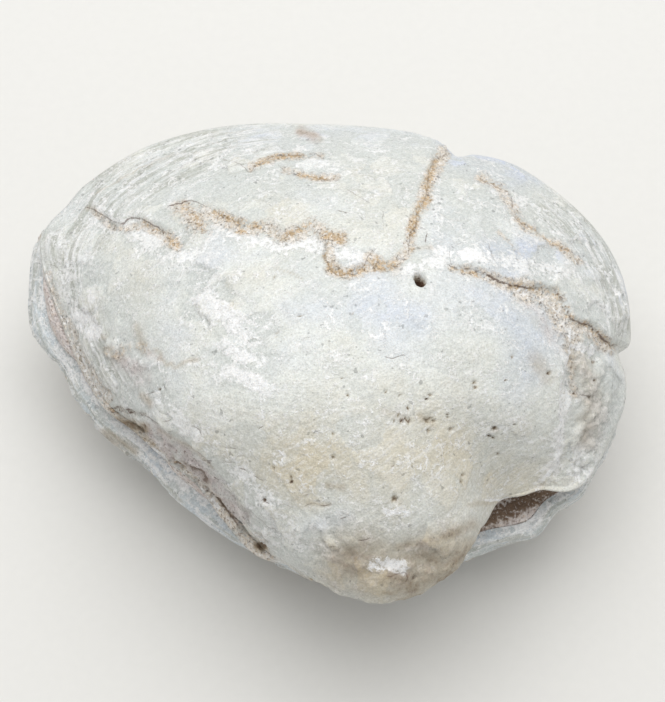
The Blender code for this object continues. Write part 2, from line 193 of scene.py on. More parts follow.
GRAIN_DOTS = ((574, 346), (573, 360), (576, 378), (578, 393))
RIGHT_BOUNDARY = ((574, 346), (566, 364), (561, 387), (561, 402), (562, 427), (561, 441),
                  (559, 464), (551, 476))
LOW_LEFT_UPPER = ((111, 408), (122, 409), (132, 412), (142, 414))
LOW_LEFT_UNDER = ((111, 412), (124, 413), (134, 415), (144, 417))
RIDGE_LINE = ((146, 415), (179, 433), (200, 449), (211, 460), (241, 502), (275, 533))
FURROW_LINE = ((176, 455), (200, 473), (221, 502), (238, 525), (256, 541))
LIP = ((486, 500), (507, 502), (522, 499), (535, 493), (541, 487), (548, 477))
OCHRE_HAIR = ((105, 350), (116, 355), (123, 349), (136, 346), (144, 349))
OCHRE_HAIR_TWO = ((155, 350), (159, 352), (160, 358), (167, 365), (172, 363), (175, 368), (182, 365),
                  (187, 361), (197, 360))
LEFT_BAND = ((46, 276), (53, 299), (57, 311), (73, 339), (77, 351), (87, 371), (98, 389), (106, 400))

# Short cracks and the edges of small flakes
SHORT_CRACKS = (
    ((197, 425), (199, 426), (202, 428), (205, 431)), ((225, 444), (230, 446), (238, 447)),
    ((205, 459), (211, 462)), ((208, 456), (214, 459)), ((223, 461), (229, 460), (237, 461)),
    ((241, 455), (245, 454)), ((243, 467), (247, 469)), ((257, 476), (261, 479), (266, 480)),
    ((264, 500), (269, 502)), ((214, 478), (217, 481)), ((331, 547), (334, 547)),
    ((338, 550), (343, 548), (347, 546)), ((357, 541), (362, 542), (365, 541), (368, 540)),
    ((341, 519), (345, 518)), ((304, 507), (308, 505), (314, 504)),
    ((319, 505), (324, 506), (330, 505)), ((293, 500), (298, 499)), ((306, 495), (309, 494)),
    ((378, 514), (382, 514)), ((413, 583), (419, 580)), ((261, 428), (265, 426)),
    ((148, 394), (153, 392)), ((165, 386), (166, 389)), ((163, 410), (170, 413)),
    ((169, 419), (175, 418)), ((586, 395), (594, 396)), ((597, 383), (603, 384), (608, 380)),
    ((487, 248), (489, 256), (492, 263)), ((339, 213), (346, 215)), ((304, 338), (314, 336)),
    ((386, 357), (392, 358), (398, 356), (403, 354), (408, 358)),
)
# Dark cracks: route, half-width in mm, strength. Along the main left and right cracks and the furrow the
# dark line is also painted shadow of a raised edge or wall
DARK_LINES = tuple((route, 0.08, 0.6) for route in SHORT_CRACKS) + (
    # The main left and right cracks are cracks, with painted shadow under the raised plate's edge
    (MAIN_LEFT, 0.09, 0.7), (GRITTY_ARC, 0.09, 0.7), (OCHRE_LEFT, 0.09, 0.3),
    (OCHRE_MIDDLE, 0.09, 0.3), (OCHRE_RIGHT, 0.1, 0.4), (NEAR_VERTICAL, 0.1, 0.35),
    (TOP_SMALL, 0.1, 0.5), (TOP_SECOND, 0.1, 0.4), (FAINT_GREY, 0.07, 0.4),
    (RIGHT_UPPER, 0.1, 0.45), (MAIN_RIGHT, 0.1, 0.8), (LOW_LEFT_UPPER, 0.13, 0.8),
    # FURROW_LINE on the next line is partly painted shade in the furrow
    (LOW_LEFT_UNDER, 0.13, 0.9), (RIDGE_LINE, 0.1, 0.5), (FURROW_LINE, 0.14, 0.7),
    (((427, 235), (426, 240)), 0.15, 1.0),
    (((390, 578), (399, 576), (406, 575), (409, 578), (407, 583)), 0.1, 0.5),
    (((48, 264), (54, 266), (60, 271)), 0.08, 0.4),
    (((451, 264), (449, 252), (453, 245), (461, 243)), 0.07, 0.35),
)
# Packed beige grit, patches and bands: route, half-width in mm, strength
GRIT_BANDS = (
    (((95, 213), (111, 225), (125, 229), (141, 225), (158, 232), (170, 240)), 0.7, 0.8),
    (((166, 237), (176, 244)), 1.4, 0.9), (((184, 212), (192, 220), (200, 228)), 2.0, 0.85),
    (((205, 212), (223, 220), (240, 228), (268, 228), (281, 238), (300, 232), (312, 224),
      (325, 234)), 1.3, 0.9),
    (((326, 236), (341, 240)), 1.4, 0.9), (((330, 240), (328, 256), (334, 268)), 1.0, 0.8),
    (((330, 267), (345, 275), (364, 270), (386, 266), (397, 259), (409, 250), (411, 233),
      (417, 214), (426, 200)), 1.0, 0.9), (((372, 258), (382, 266)), 1.4, 0.85),
    (((444, 152), (438, 165), (432, 176), (426, 190), (422, 206)), 1.2, 0.9),
    (((252, 168), (262, 163), (277, 158), (299, 155), (321, 156)), 0.8, 0.8),
    (((285, 170), (305, 176), (336, 179)), 0.8, 0.85),
    (((481, 177), (501, 189), (513, 209), (523, 227), (553, 246), (575, 262)), 1.1, 0.8),
    (((497, 233), (505, 241), (512, 250), (521, 258)), 0.4, 0.7),
    (((453, 268), (482, 275), (509, 288)), 0.8, 0.8),
    (GRAIN_BAND, 1.7, 1.0), (GRAIN_DOTS, 0.9, 0.75), (GRAIN_BRANCH, 0.9, 0.9),
    (((500, 284), (530, 290), (556, 300)), 0.9, 0.9), (OCHRE_HAIR, 1.5, 0.5),
    (((120, 424), (150, 447), (179, 474), (200, 494), (218, 512), (240, 534), (260, 550)), 1.5, 0.8),
    (LEFT_BAND, 0.9, 0.95),
)
# Rust and ochre in the cracks, which the grit carries
RUST_SPOTS = (
    (((88, 207), (92, 209)), 0.5, 0.9), (((145, 222), (160, 229)), 0.5, 0.7),
    (((168, 238), (174, 243)), 0.9, 0.7), (((182, 206), (195, 215), (204, 230)), 0.8, 0.5),
    (((215, 213), (237, 223), (260, 226)), 0.5, 0.7), (((238, 231), (243, 233)), 0.6, 0.8),
    (((281, 238), (301, 229), (312, 222)), 0.5, 0.6), (((326, 236), (341, 240)), 0.9, 0.9),
    (((324, 256), (330, 267), (345, 275), (364, 268)), 0.6, 0.7), (((378, 265), (393, 267)), 1.3, 0.9),
    (((411, 233), (417, 214), (428, 200)), 0.8, 0.8), (((434, 160), (426, 190)), 0.9, 0.7),
    (((258, 166), (277, 157), (301, 154)), 0.6, 0.75), (((299, 176), (324, 180)), 0.6, 0.8),
    (((481, 177), (501, 189)), 0.6, 0.4), (((516, 221), (541, 238), (565, 253)), 0.6, 0.5),
    (((453, 268), (482, 276)), 0.4, 0.7), (((422, 419), (432, 419)), 0.6, 0.6),
    (((495, 430), (498, 432)), 0.5, 0.7), (((475, 382), (477, 386)), 0.5, 0.6),
    (((392, 501), (400, 502)), 0.6, 0.5), (((270, 438), (290, 446)), 0.8, 0.35),
    (((413, 248), (431, 246)), 0.5, 0.7), (OCHRE_HAIR, 1.3, 0.42),
    (((142, 396), (150, 403)), 0.7, 0.5), (((440, 214), (452, 221), (466, 222)), 0.2, 0.4),
    (MAIN_RIGHT[6:], 0.5, 0.5), (((112, 410), (144, 416)), 0.6, 0.7),
)
# Chalky white powder, crusts, flakes and lines
WHITE_MARKS = (
    (((144, 446), (163, 458)), 0.9, 0.75), (((160, 464), (179, 480)), 1.0, 0.75),
    (((186, 494), (200, 505)), 0.8, 0.7), (((179, 470), (218, 506)), 0.7, 0.5),
    (((338, 234), (371, 234)), 0.15, 0.6), (((366, 280), (390, 280)), 0.2, 0.7),
    (((341, 140), (355, 147), (374, 152), (404, 149), (435, 151)), 0.2, 0.6),
    (((455, 252), (470, 256), (485, 260)), 1.6, 0.6), (((274, 453), (286, 455)), 1.2, 0.5),
    (((383, 512), (419, 514)), 0.6, 0.6), (((372, 568), (388, 565), (404, 570)), 1.2, 0.74),
    (((148, 370), (152, 365), (158, 364), (160, 372), (168, 373)), 0.15, 0.8),
    (((319, 464), (340, 465), (368, 469), (378, 474), (393, 468), (417, 466), (449, 469)), 0.15, 0.7),
    (LEFT_BAND, 0.9, 0.5), (GRAIN_BAND, 1.4, 0.42), (((221, 400), (238, 410)), 0.15, 0.7),
    (((263, 390), (263, 405), (267, 421)), 0.15, 0.7),
    (((117, 194), (141, 182)), 0.15, 0.7), (((551, 200), (592, 252), (625, 310)), 0.15, 0.65),
    (RIGHT_BOUNDARY, 0.35, 0.9), (LIP, 0.25, 0.8), (((80, 318), (92, 335)), 1.8, 0.8),
    (((89, 291), (91, 300)), 0.7, 0.8),
    (((200, 297), (225, 312), (240, 335)), 2.2, 0.7), (((222, 345), (240, 355), (258, 362)), 1.5, 0.9),
    (((230, 370), (258, 384)), 1.5, 0.8), (((238, 311), (248, 320), (260, 326), (270, 329)), 0.25, 0.9),
    (((160, 240), (180, 255), (200, 268)), 2.5, 0.4), (((151, 365), (160, 361), (164, 371)), 0.2, 0.8),
    (((582, 346), (596, 350)), 0.9, 0.8), (((562, 418), (564, 431)), 0.7, 0.9),
    (((230, 236), (262, 240), (290, 246)), 1.2, 0.5), (((350, 262), (356, 250)), 0.9, 0.4),
)
# Lilac grey clay in the seam and stains like it
LILAC_MARKS = (
    (((118, 358), (142, 378)), 1.9, 0.5), (((146, 352), (158, 358)), 0.9, 0.6),
    (((150, 430), (185, 456), (210, 484), (240, 518)), 1.6, 0.72), (((301, 131), (315, 138)), 0.9, 0.7),
    (((530, 302), (560, 340)), 1.8, 0.4), (((185, 212), (200, 226)), 1.4, 0.4),
)
# Soft ochre stains, and brown in hollows and under the beak, which is the stronger; the brown in hollows
# and on the beak's shaded flank is partly painted shade
BROWN_MARKS = (
    # Under the lower-left ridge line: painted shadow
    (((114, 421), (130, 425), (144, 428)), 0.9, 0.95),
    # Along the furrow: staining and painted shade
    (FURROW_LINE, 0.3, 0.4), (((546, 497), (562, 500), (578, 491)), 0.35, 0.9),
    (((345, 548), (400, 547)), 1.0, 0.5),
    # Below: a mark along the beak's edge, then one on its right flank which is painted shade
    (((400, 550), (440, 541), (472, 526)), 1.5, 0.66), (((415, 590), (445, 572), (470, 548)), 2.6, 0.76),
    (((384, 593), (392, 594)), 0.6, 0.8), (((345, 556), (362, 555)), 1.2, 0.55),
    # Over the whole beak: ochre staining, and painted shade
    (((350, 562), (400, 577), (455, 560)), 5.8, 0.7),
    (((258, 546), (262, 548)), 0.6, 1.0), (((590, 402), (588, 441)), 1.2, 0.55),
    (((307, 504), (329, 505)), 0.4, 0.5), (((116, 424), (134, 434), (150, 446)), 0.9, 0.65),
    # Along the beak's lower right edge and flank: painted shade
    (((400, 607), (430, 598), (462, 570)), 1.2, 0.85), (((446, 566), (472, 546)), 1.2, 0.7),
    (((300, 130), (318, 138)), 0.9, 0.5), (((535, 358), (546, 378)), 1.4, 0.5),
    (((583, 360), (596, 400), (590, 440)), 2.4, 0.48), (((135, 326), (141, 344)), 0.9, 0.45),
    # In the crevice under the broken lip: painted shade
    (((470, 505), (486, 503), (520, 503), (545, 485)), 0.5, 0.5),
    (((100, 336), (104, 338)), 0.5, 0.5), (((420, 415), (434, 425)), 0.8, 0.5),
    (((385, 412), (412, 420)), 1.0, 0.35), (OCHRE_HAIR_TWO, 0.5, 0.5),
    (((328, 485), (343, 488)), 0.7, 0.55), (((275, 268), (290, 272), (302, 278)), 0.3, 0.5),
    (((97, 194), (147, 166), (171, 154)), 0.2, 0.5),
    (((142, 396), (151, 404)), 0.8, 0.5), (((160, 430), (200, 452), (214, 466)), 0.5, 0.45),
)
# Bluish opal, and warm yellowish opal
BLUE_AREAS = (
    (((300, 312), (350, 310), (410, 314)), 3.5, 0.6), (((500, 300), (540, 340), (530, 400)), 6.0, 0.55),
    (((454, 158), (490, 162), (528, 176)), 2.6, 1.3), (((490, 250), (505, 250)), 1.7, 0.9),
    (((522, 250), (550, 256)), 2.2, 1.0), (((305, 195), (340, 206)), 2.8, 0.6),
    (((310, 525), (340, 525)), 2.2, 0.6),
    (((240, 140), (400, 136)), 3.0, 0.3), (((560, 230), (610, 300)), 3.0, 0.4),
)
WARM_AREAS = (
    (((285, 460), (400, 472), (490, 450)), 9.0, 0.75), (((350, 556), (440, 556)), 5.0, 1.0),
    (((380, 590), (450, 572)), 3.0, 1.0), (((227, 304), (230, 306)), 0.8, 0.7),
    (((236, 360), (256, 364)), 0.6, 0.6), (((300, 200), (380, 180)), 6.0, 0.3),
    (((592, 290), (600, 296)), 1.0, 0.4), (((240, 400), (300, 430)), 5.0, 0.4),
)
# Where the outer layer stands as thin flakes
FLAKY_AREAS = (
    (((110, 200), (200, 170), (330, 160), (420, 170)), 8.0, 0.8),
    (((480, 200), (560, 240), (600, 300)), 7.0, 1.0), (((70, 250), (90, 330), (130, 390)), 6.0, 0.9),
    (((590, 360), (600, 420), (580, 470)), 4.0, 1.0), (((130, 420), (200, 470), (270, 535)), 4.0, 1.0),
    (((330, 555), (430, 560)), 5.0, 0.9), (((170, 240), (240, 350)), 5.0, 0.9),
)
# Where white crust is scattered
CRUST_AREAS = (
    (((95, 215), (165, 243), (215, 232), (300, 243), (335, 243)), 2.6, 0.62),
    (((150, 240), (200, 262)), 4.0, 0.6), (((200, 285), (238, 330)), 2.6, 0.55),
    (((236, 350), (250, 384)), 1.8, 0.5), (((330, 250), (400, 272), (440, 262)), 2.0, 0.58),
    (((445, 250), (500, 262), (560, 275)), 2.6, 0.62), (((500, 285), (562, 322), (567, 400),
      (555, 470)), 1.5, 0.66), (((434, 160), (440, 250)), 1.6, 0.58),
    (((300, 150), (340, 180)), 2.0, 0.5), (((125, 400), (160, 402), (230, 452), (280, 520)), 2.2, 0.52),
    (((368, 566), (407, 572)), 1.6, 0.66), (((480, 180), (520, 200), (515, 235)), 1.8, 0.62),
    (LEFT_BAND, 1.4, 0.62), (((585, 360), (600, 420), (580, 475)), 3.0, 0.56),
    (((60, 230), (75, 330)), 2.6, 0.5), (((285, 525), (300, 545), (340, 560)), 2.0, 0.5),
    (((250, 150), (215, 170), (190, 195)), 2.0, 0.45),
)
# Where growth lines show: the upper left, the left and the right margin
STREAKY_AREAS = (
    (((90, 215), (150, 165), (240, 140)), 6.0, 1.0), (((60, 240), (75, 310), (110, 370)), 4.5, 0.9),
    (((130, 425), (190, 468), (265, 540)), 3.0, 0.9),
    (((560, 215), (605, 270), (622, 320)), 4.0, 1.0), (((300, 180), (400, 190)), 4.0, 0.4),
)
# Pits in the dome: pixel, radius and depth in mm. They are drawn a little wider and deeper
PITS = (
    (419, 276, 0.52, 1.2), (422, 280, 0.55, 1.2), (275, 276, 0.2, 0.2), (276, 333, 0.22, 0.2),
    (276, 336, 0.2, 0.2), (299, 316, 0.18, 0.15), (353, 312, 0.15, 0.1), (347, 395, 0.22, 0.2),
    (341, 378, 0.16, 0.12), (386, 391, 0.25, 0.12), (399, 395, 0.18, 0.1), (431, 395, 0.22, 0.2),
    (428, 399, 0.25, 0.2), (408, 408, 0.22, 0.2), (399, 415, 0.2, 0.15), (402, 421, 0.28, 0.2),
    (395, 421, 0.2, 0.15), (406, 419, 0.22, 0.2), (411, 420, 0.2, 0.2), (409, 422, 0.2, 0.15),
    (426, 419, 0.2, 0.15), (429, 421, 0.28, 0.25), (431, 418, 0.2, 0.15), (435, 421, 0.22, 0.2),
    (449, 415, 0.18, 0.15), (449, 418, 0.18, 0.12), (452, 430, 0.25, 0.2), (429, 430, 0.25, 0.15),
    (333, 434, 0.18, 0.12), (333, 457, 0.28, 0.2), (394, 467, 0.2, 0.15), (492, 438, 0.25, 0.25),
    (496, 440, 0.22, 0.2), (497, 430, 0.3, 0.2), (476, 382, 0.25, 0.2), (477, 387, 0.3, 0.12),
    (507, 380, 0.2, 0.15), (513, 357, 0.25, 0.15), (500, 456, 0.18, 0.15), (463, 482, 0.2, 0.15),
    (464, 476, 0.25, 0.12), (395, 500, 0.38, 0.3), (291, 477, 0.2, 0.15), (291, 482, 0.28, 0.2),
    (275, 468, 0.2, 0.15), (265, 500, 0.25, 0.2), (549, 373, 0.25, 0.25), (416, 581, 0.25, 0.25),
    (516, 426, 0.15, 0.15), (597, 361, 0.35, 0.25), (596, 380, 0.25, 0.2), (579, 393, 0.22, 0.2),
    (592, 397, 0.2, 0.15), (327, 201, 0.15, 0.12), (160, 390, 0.2, 0.15),
)
# What lies on the lower valve where the photograph shows it
LOWER_BROWN = ((((104, 432), (118, 442), (133, 452)), 0.8, 0.62), (((258, 548), (262, 552)), 0.6, 0.8))
# Brown under the broken lip: dirt, and painted shade where the lip hangs over the hollow
HOLLOW_DIRT_AND_SHADE = ((((476, 524), (515, 507), (552, 487)), 1.6, 1.0),)
UPPER_MARKS = {
    "lines": DARK_LINES, "grit": GRIT_BANDS, "rust": RUST_SPOTS, "white": WHITE_MARKS,
    "lilac": LILAC_MARKS, "brown": BROWN_MARKS, "warm": WARM_AREAS, "blue": BLUE_AREAS,
    "flaky": FLAKY_AREAS, "crust": CRUST_AREAS, "streaky": STREAKY_AREAS, "pits": PITS,
}
LOWER_MARKS = {name: () for name in UPPER_MARKS} | {"brown": LOWER_BROWN}
# Crisp marks end where the photograph's view does; soft ones carry on round the edge
CRISP_MARKS = ("grit", "rust", "white", "flaky", "crust", "streaky")
SOFT_MARKS = ("lilac", "brown", "warm", "blue")
# Cosines between surface and sight line, over which each kind fades out
CRISP_END = (0.02, 0.16)
SOFT_END = (-0.9, 0.1)

# Distances from a dark crack, in its half-widths: where it fades out, and one out of its reach
CRACK_FADE = (2.5, 5.0)
NO_CRACK = 9.0
# Width in mm over which a broken plate's edge rises
PLATE_EDGE = 0.16
# How much wider and deeper pits are drawn than listed
PIT_WIDER = 1.2
PIT_DEEPER = 1.3
# How far marks waver from their routes, and the size of the waves, in mm
WAVER = 0.13
WAVER_SIZE = 1.4

# The broken pattern in mm: how far it is bent and in what waves, the sizes of its plates, flakes
# and chips, then the half-widths of a flake's edge and of a hidden crack with its grit
BEND = 1.2
BEND_SIZE = 5.0
PLATE_SIZE = 15.0
FLAKE_SIZE = 4.2
CHIP_SIZE = 1.7
FLAKE_EDGE = 0.2
HIDDEN_CRACK = 0.16
HIDDEN_GRIT = 0.8
# Hidden stains: kind, most, then a noise's size, octaves and shift and the levels it fades between
HIDDEN_STAINS = (("brown", 0.3, 16.0, 3, 51.0, 0.1, 0.5), ("warm", 0.5, 18.0, 2, 61.0, -0.1, 0.6))

# Relief over the plain form, which is sunk a little to leave room for it. Heights and sizes are
# mm, a groove's width is in the crack's half-widths, and chips and crust start at a strength
SUNK = 0.25
WAVE_HEIGHT = 0.16
WAVE_SIZE = 9.0
DIMPLE_HEIGHT = 0.05
DIMPLE_SIZE = 1.6
PLATE_RISE = 0.4
FLAKE_RISE = 0.26
CHIP_RISE = 0.12
CHIPS_FROM = 0.55
GROOVE_DEPTH = 0.2
GROOVE_WIDTH = 2.2
GRIT_SINK = 0.16
GRIT_ROUGHNESS = 0.32
GRIT_LUMP = 0.7
POWDER_HEIGHT = 0.04
POWDER_ROUGHNESS = 0.08
THICK_CRUST = 0.35
RIDGE_HEIGHT = 0.06
# Radians per mm, which puts the ridges 1.2 mm apart
RIDGE_RATE = 5.2
RIDGE_WANDER = 14.0
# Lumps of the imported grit: height, size, octaves and shift of each noise
PACKED_LUMPS = ((0.22, 0.8, 3, 4.0), (0.2, 3.0, 2, 8.0))
# Waves and crumbs on the upper valve's wall: size, octaves and shift of each noise
WALL_WAVES = (1.3, 3, 13.0)
WALL_CRUMBS = (0.5, 2, 23.0)
# Undercuts over which the wall turns into a broken lip, or into a skirt where they are negative
LIP_FROM = (0.3, 2.0)
SKIRT_FROM = (0.2, 0.9)

# Broken plates: route, side that stands up (1 left of the route, -1 right), height, reach in mm
PLATES = (
    (MAIN_LEFT + ((172, 240),), 1, 0.7, 9.0),
    (((205, 209),) + OCHRE_LEFT + OCHRE_MIDDLE[2:5] + ((326, 245), (326, 262), (345, 274),
     (368, 264), (388, 257)), 1, 0.6, 8.0),
    (tuple(reversed(NEAR_VERTICAL[:-2])) + ((450, 140),), 1, 0.6, 4.0),
    (MAIN_RIGHT, 1, 1.0, 11.0),
    (RIGHT_BOUNDARY, -1, 0.7, 9.0),
    (RIDGE_LINE, 1, 0.6, 5.0),
)
# Broad bulges and hollows: x, y, half-width along x and along y, height
SWELLS = (
    (-13.0, -10.0, 12.0, 9.0, 1.0),
    (26.0, -12.0, 9.0, 9.0, -0.6),
    (10.0, -29.0, 7.0, 5.0, -0.6),
)

# Where the surface is lumpy: route, half-width in mm, height, size of the lumps
LUMPY_AREAS = (
    (((330, 560), (390, 575), (440, 560)), 5.0, 0.55, 3.2),
    (((330, 550), (390, 570), (440, 560)), 4.0, 0.2, 1.3),
    (((125, 420), (190, 465), (262, 540)), 2.2, 0.5, 3.2),
    (((150, 435), (190, 465), (235, 515)), 1.8, 0.25, 1.1),
    (((590, 350), (600, 400), (575, 480)), 3.4, 0.7, 2.6),
    (((590, 350), (600, 400), (575, 480)), 3.4, 0.25, 1.2),
    (((90, 320), (140, 380)), 4.0, 0.25, 3.2), (((110, 350), (180, 365)), 3.0, 0.15, 1.4),
    (((170, 240), (235, 340)), 4.0, 0.12, 1.6),
)

# Growth streaks are this many times as long as they are apart
STREAK_LENGTH = 8.0

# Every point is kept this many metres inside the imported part's box
BOX_GAP = 0.00001

# Where the soft light hangs and what it is turned to, in metres
KEY_PLACE = (0.0, 0.15, 0.52)
KEY_AIM = (0.0, 0.0, 0.02)

# How fine the meshes are
UPPER_CELLS = 280
UPPER_WALL_ROWS = 16
LOWER_CELLS = 236
LOWER_ROLL_ROWS = 12
GRIT_POINTS = 1400
GRIT_ROWS = 24

TURN = np.arange(0.0, 360.0, 0.5)


def hex_colour(code):
    """A linear colour, with its alpha, from an sRGB hex code."""
    parts = [int(code[i:i + 2], 16) / 255 for i in (0, 2, 4)]
    linear = [p / 12.92 if p <= 0.04045 else ((p + 0.055) / 1.055) ** 2.4 for p in parts]
    return (*linear, 1.0)


def colour_setting(name, description, code):
    """A colour property with an sRGB hex default."""
    return FloatVectorProperty(name=name, description=description, subtype="COLOR", size=4,
                               min=0.0, max=1.0, default=hex_colour(code))


class OpalLook(PropertyGroup):
    """Colours and grain of the opal valves."""

    pale: colour_setting("Pale opal", "Grey-green white of the upper valve", "e7e9e3")
    blue: colour_setting("Bluish opal", "Where the opal is clearer", "d0d8e7")
    warm: colour_setting("Warm opal", "Lower dome and beak", "dad2bd")
    lower: colour_setting("Lower valve", "Bluish white of the lower valve", "cfd8dc")
    chalk: colour_setting("Chalk", "White powder left on the opal", "f8f8f7")
    grey: colour_setting("Grey opal", "Clearer, greyer plates and streaks", "d2d6d2")
    line: colour_setting("Growth line", "Darker line between two growth bands", "adafa3")
    grain: FloatProperty(name="Sugary grain", description="Size of the fine grain",
                         default=0.24 * MM, min=0.05 * MM, unit="LENGTH")
    growth: FloatProperty(name="Growth lines", description="Distance between fine growth lines",
                          default=0.55 * MM, min=0.1 * MM, unit="LENGTH")
    roughness: FloatProperty(name="Roughness", description="Satin of the worn opal",
                             default=0.42, min=0.0, max=1.0, subtype="FACTOR")


class GritLook(PropertyGroup):
    """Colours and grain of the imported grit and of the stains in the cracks."""

    sand: colour_setting("Sand", "Beige grit in the cracks", "e2d3bd")
    pink: colour_setting("Pinkish grit", "Packed grit in the seam", "dccabd")
    rust: colour_setting("Rust", "Ochre stain on the grit", "cba569")
    lilac: colour_setting("Lilac clay", "Clay in the furrow", "d1c6c3")
    # The ochre and the brown below are staining and dirt, and also painted shade in hollows, pits, under
    # the broken lip and on the beak's flank
    stain_and_shade: colour_setting("Ochre stain", "Soft stain on the opal", "b09d7d")
    brown: colour_setting("Brown dirt", "Dirt in the hollows", "755f4a")
    # The crack colour also paints pits and the shadow along raised plate edges
    dark: colour_setting("Crack", "Bottom of a crack", "604737")
    grain: FloatProperty(name="Grains", description="Size of the sand grains",
                         default=0.42 * MM, min=0.1 * MM, unit="LENGTH")


class StudioLook(PropertyGroup):
    """The floor, the soft light and the even sky."""

    floor: colour_setting("Floor", "Plain pale floor", "e4e3df")
    floor_size: FloatProperty(name="Floor size", description="Width of the floor", default=1.6,
                              min=0.5, unit="LENGTH")
    key_power: FloatProperty(name="Key light", description="Power of the large soft light in watts",
                             default=2.75, min=0.0)
    key_size: FloatProperty(name="Key size", description="Width of the large soft light",
                            default=0.6, min=0.05, unit="LENGTH")
    sky: FloatProperty(name="Sky", description="Strength of the even light all round",
                       default=0.48, min=0.0)


def smooth_loop(points, steps=16):
    """Points along a smooth closed curve through the given points."""
    here = np.array(points, dtype=float)
    there = np.roll(here, -1, axis=0)
    span = np.sqrt(np.linalg.norm(there - here, axis=1))[:, None]
    slope = (there - np.roll(here, 1, axis=0)) / (span + np.roll(span, 1, axis=0))
    rows = []
    for t in np.arange(steps) / steps:
        start = here * (2 * t**3 - 3 * t**2 + 1) + span * slope * (t**3 - 2 * t**2 + t)
        end = there * (3 * t**2 - 2 * t**3) + span * np.roll(slope, -1, axis=0) * (t**3 - t**2)
        rows.append(start + end)
    return np.stack(rows, axis=1).reshape(-1, 2)


def radius_table(points, centre):
    """Radius of a closed outline about a centre, at each angle of TURN."""
    away = smooth_loop(points) - np.array(centre)
    angle = np.degrees(np.arctan2(away[:, 1], away[:, 0]))
    return np.interp(TURN, angle, np.hypot(away[:, 0], away[:, 1]), period=360.0)


def true_place(points, height):
    """Where outline points seen from SIGHT against z = 0 are, if they stand at a height."""
    share = 1 - height / SIGHT[2]
    return [(SIGHT[0] + (x - SIGHT[0]) * share, SIGHT[1] + (y - SIGHT[1]) * share)
            for x, y in points]


def soften(table, degrees):
    """A table over the full turn, evened out over a number of degrees."""
    apart = np.abs(TURN[:, None] - TURN[None, :])
    apart = np.minimum(apart, 360.0 - apart)
    weight = np.exp(-((apart / degrees) ** 2))
    return weight @ table / weight.sum(axis=1)


def station_table(stations, degrees=9.0):
    """Values given at a few directions, blended smoothly over the full turn."""
    angles, values = zip(*stations)
    return soften(np.interp(TURN, angles, values, period=360.0), degrees)


def around(theta, table):
    """Value of a table in the direction theta, in radians."""
    return np.interp(np.degrees(theta), TURN, table, period=360.0)


UPPER_RADIUS = radius_table(true_place(UPPER_RIM, UPPER_RIM_HEIGHT), UPPER_APEX)
UPPER_SOFT = soften(UPPER_RADIUS, 24.0)
UPPER_POWER = station_table(UPPER_SLOPE)
UPPER_BEAK = station_table(BEAK_OVERHANG)
UPPER_EDGE = station_table(EDGE_HEIGHT, 4.0)
UPPER_UNDERCUT = station_table(EDGE_UNDERCUT, 4.0)
LOWER_RADIUS = radius_table(LOWER_RIM, LOWER_APEX)
LOWER_SOFT = soften(LOWER_RADIUS, 14.0)
LOWER_POWER = station_table(LOWER_SLOPE)
LOWER_ROLL_IN = station_table(LOWER_ROLL)


def on_seam_plane(pixels):
    """Where the sight lines through pixels of the photograph cross the plane z = 0."""
    lift = radians(SIGHT_LIFT)
    found = []
    for px, py in pixels:
        across = (px - IMAGE_CENTRE[0]) / PIXELS_PER_MM
        up = (IMAGE_CENTRE[1] - py) / PIXELS_PER_MM
        way = np.array((across, up * sin(lift) - SIGHT[1], up * cos(lift) - SIGHT[2]))
        share = -SIGHT[2] / way[2]
        found.append((SIGHT[0] + share * way[0], SIGHT[1] + share * way[1]))
    return found


def smooth_step(value, low, high):
    """0 below low, 1 above high, smooth between them."""
    t = np.clip((value - low) / (high - low), 0.0, 1.0)
    return t * t * (3 - 2 * t)


def ripple(points, size, octaves=3, shift=0.0):
    """Fractal noise of about -1 to 1 at points, with waves of a size in mm."""
    rows = (points / size + shift).tolist()
    return np.array([noise.fractal(row, 0.8, 2.1, octaves) for row in rows])


def seam_half(x, y):
    """Height of the upper valve's flat face above the middle of the seam."""
    return (SEAM_WIDTH + SEAM_PER_X * x + SEAM_PER_Y * y) / 2


def seen(points):
    """Where points of the surface cross the plane z = 0 when seen from SIGHT."""
    scale = SIGHT[2] / (SIGHT[2] - points[:, 2])
    x = SIGHT[0] + (points[:, 0] - SIGHT[0]) * scale
    y = SIGHT[1] + (points[:, 1] - SIGHT[1]) * scale
    return x, y


def along_route(x, y, route):
    """Distance to a route, positive on its left, and a share that fades out at its ends."""
    nearest = np.full(x.shape, np.inf)
    beside = np.zeros(x.shape)
    travelled = np.zeros(x.shape)
    pulls = np.zeros(x.shape)
    start = 0.0
    for (ax, ay), (bx, by) in zip(route, route[1:]):
        dx, dy = bx - ax, by - ay
        length = np.hypot(dx, dy)
        share = np.clip(((x - ax) * dx + (y - ay) * dy) / length**2, 0.0, 1.0)
        distance = np.hypot(x - ax - share * dx, y - ay - share * dy)
        across = (dx * (y - ay) - dy * (x - ax)) / length
        as_close = (distance < nearest + 1e-6) & (np.abs(across) > np.abs(beside))
        closer = (distance < nearest - 1e-6) | as_close
        nearest = np.where(closer, distance, nearest)
        beside = np.where(closer, across, beside)
        pull = (distance + 0.05) ** -6.0
        travelled += pull * (start + share * length)
        pulls += pull
        start += length
    travelled /= pulls
    fade = np.clip(np.minimum(travelled, start - travelled) / (0.12 * start), 0.0, 1.0)
    return nearest * np.sign(beside), fade * fade * (3 - 2 * fade)


def mark_share(x, y, marks):
    """How strongly a list of marks covers each point."""
    share = np.zeros(x.shape)
    for pixels, width, strength in marks:
        signed = along_route(x, y, on_seam_plane(pixels))[0]
        share = np.maximum(share, strength * np.exp(-((signed / width) ** 2)))
    return share


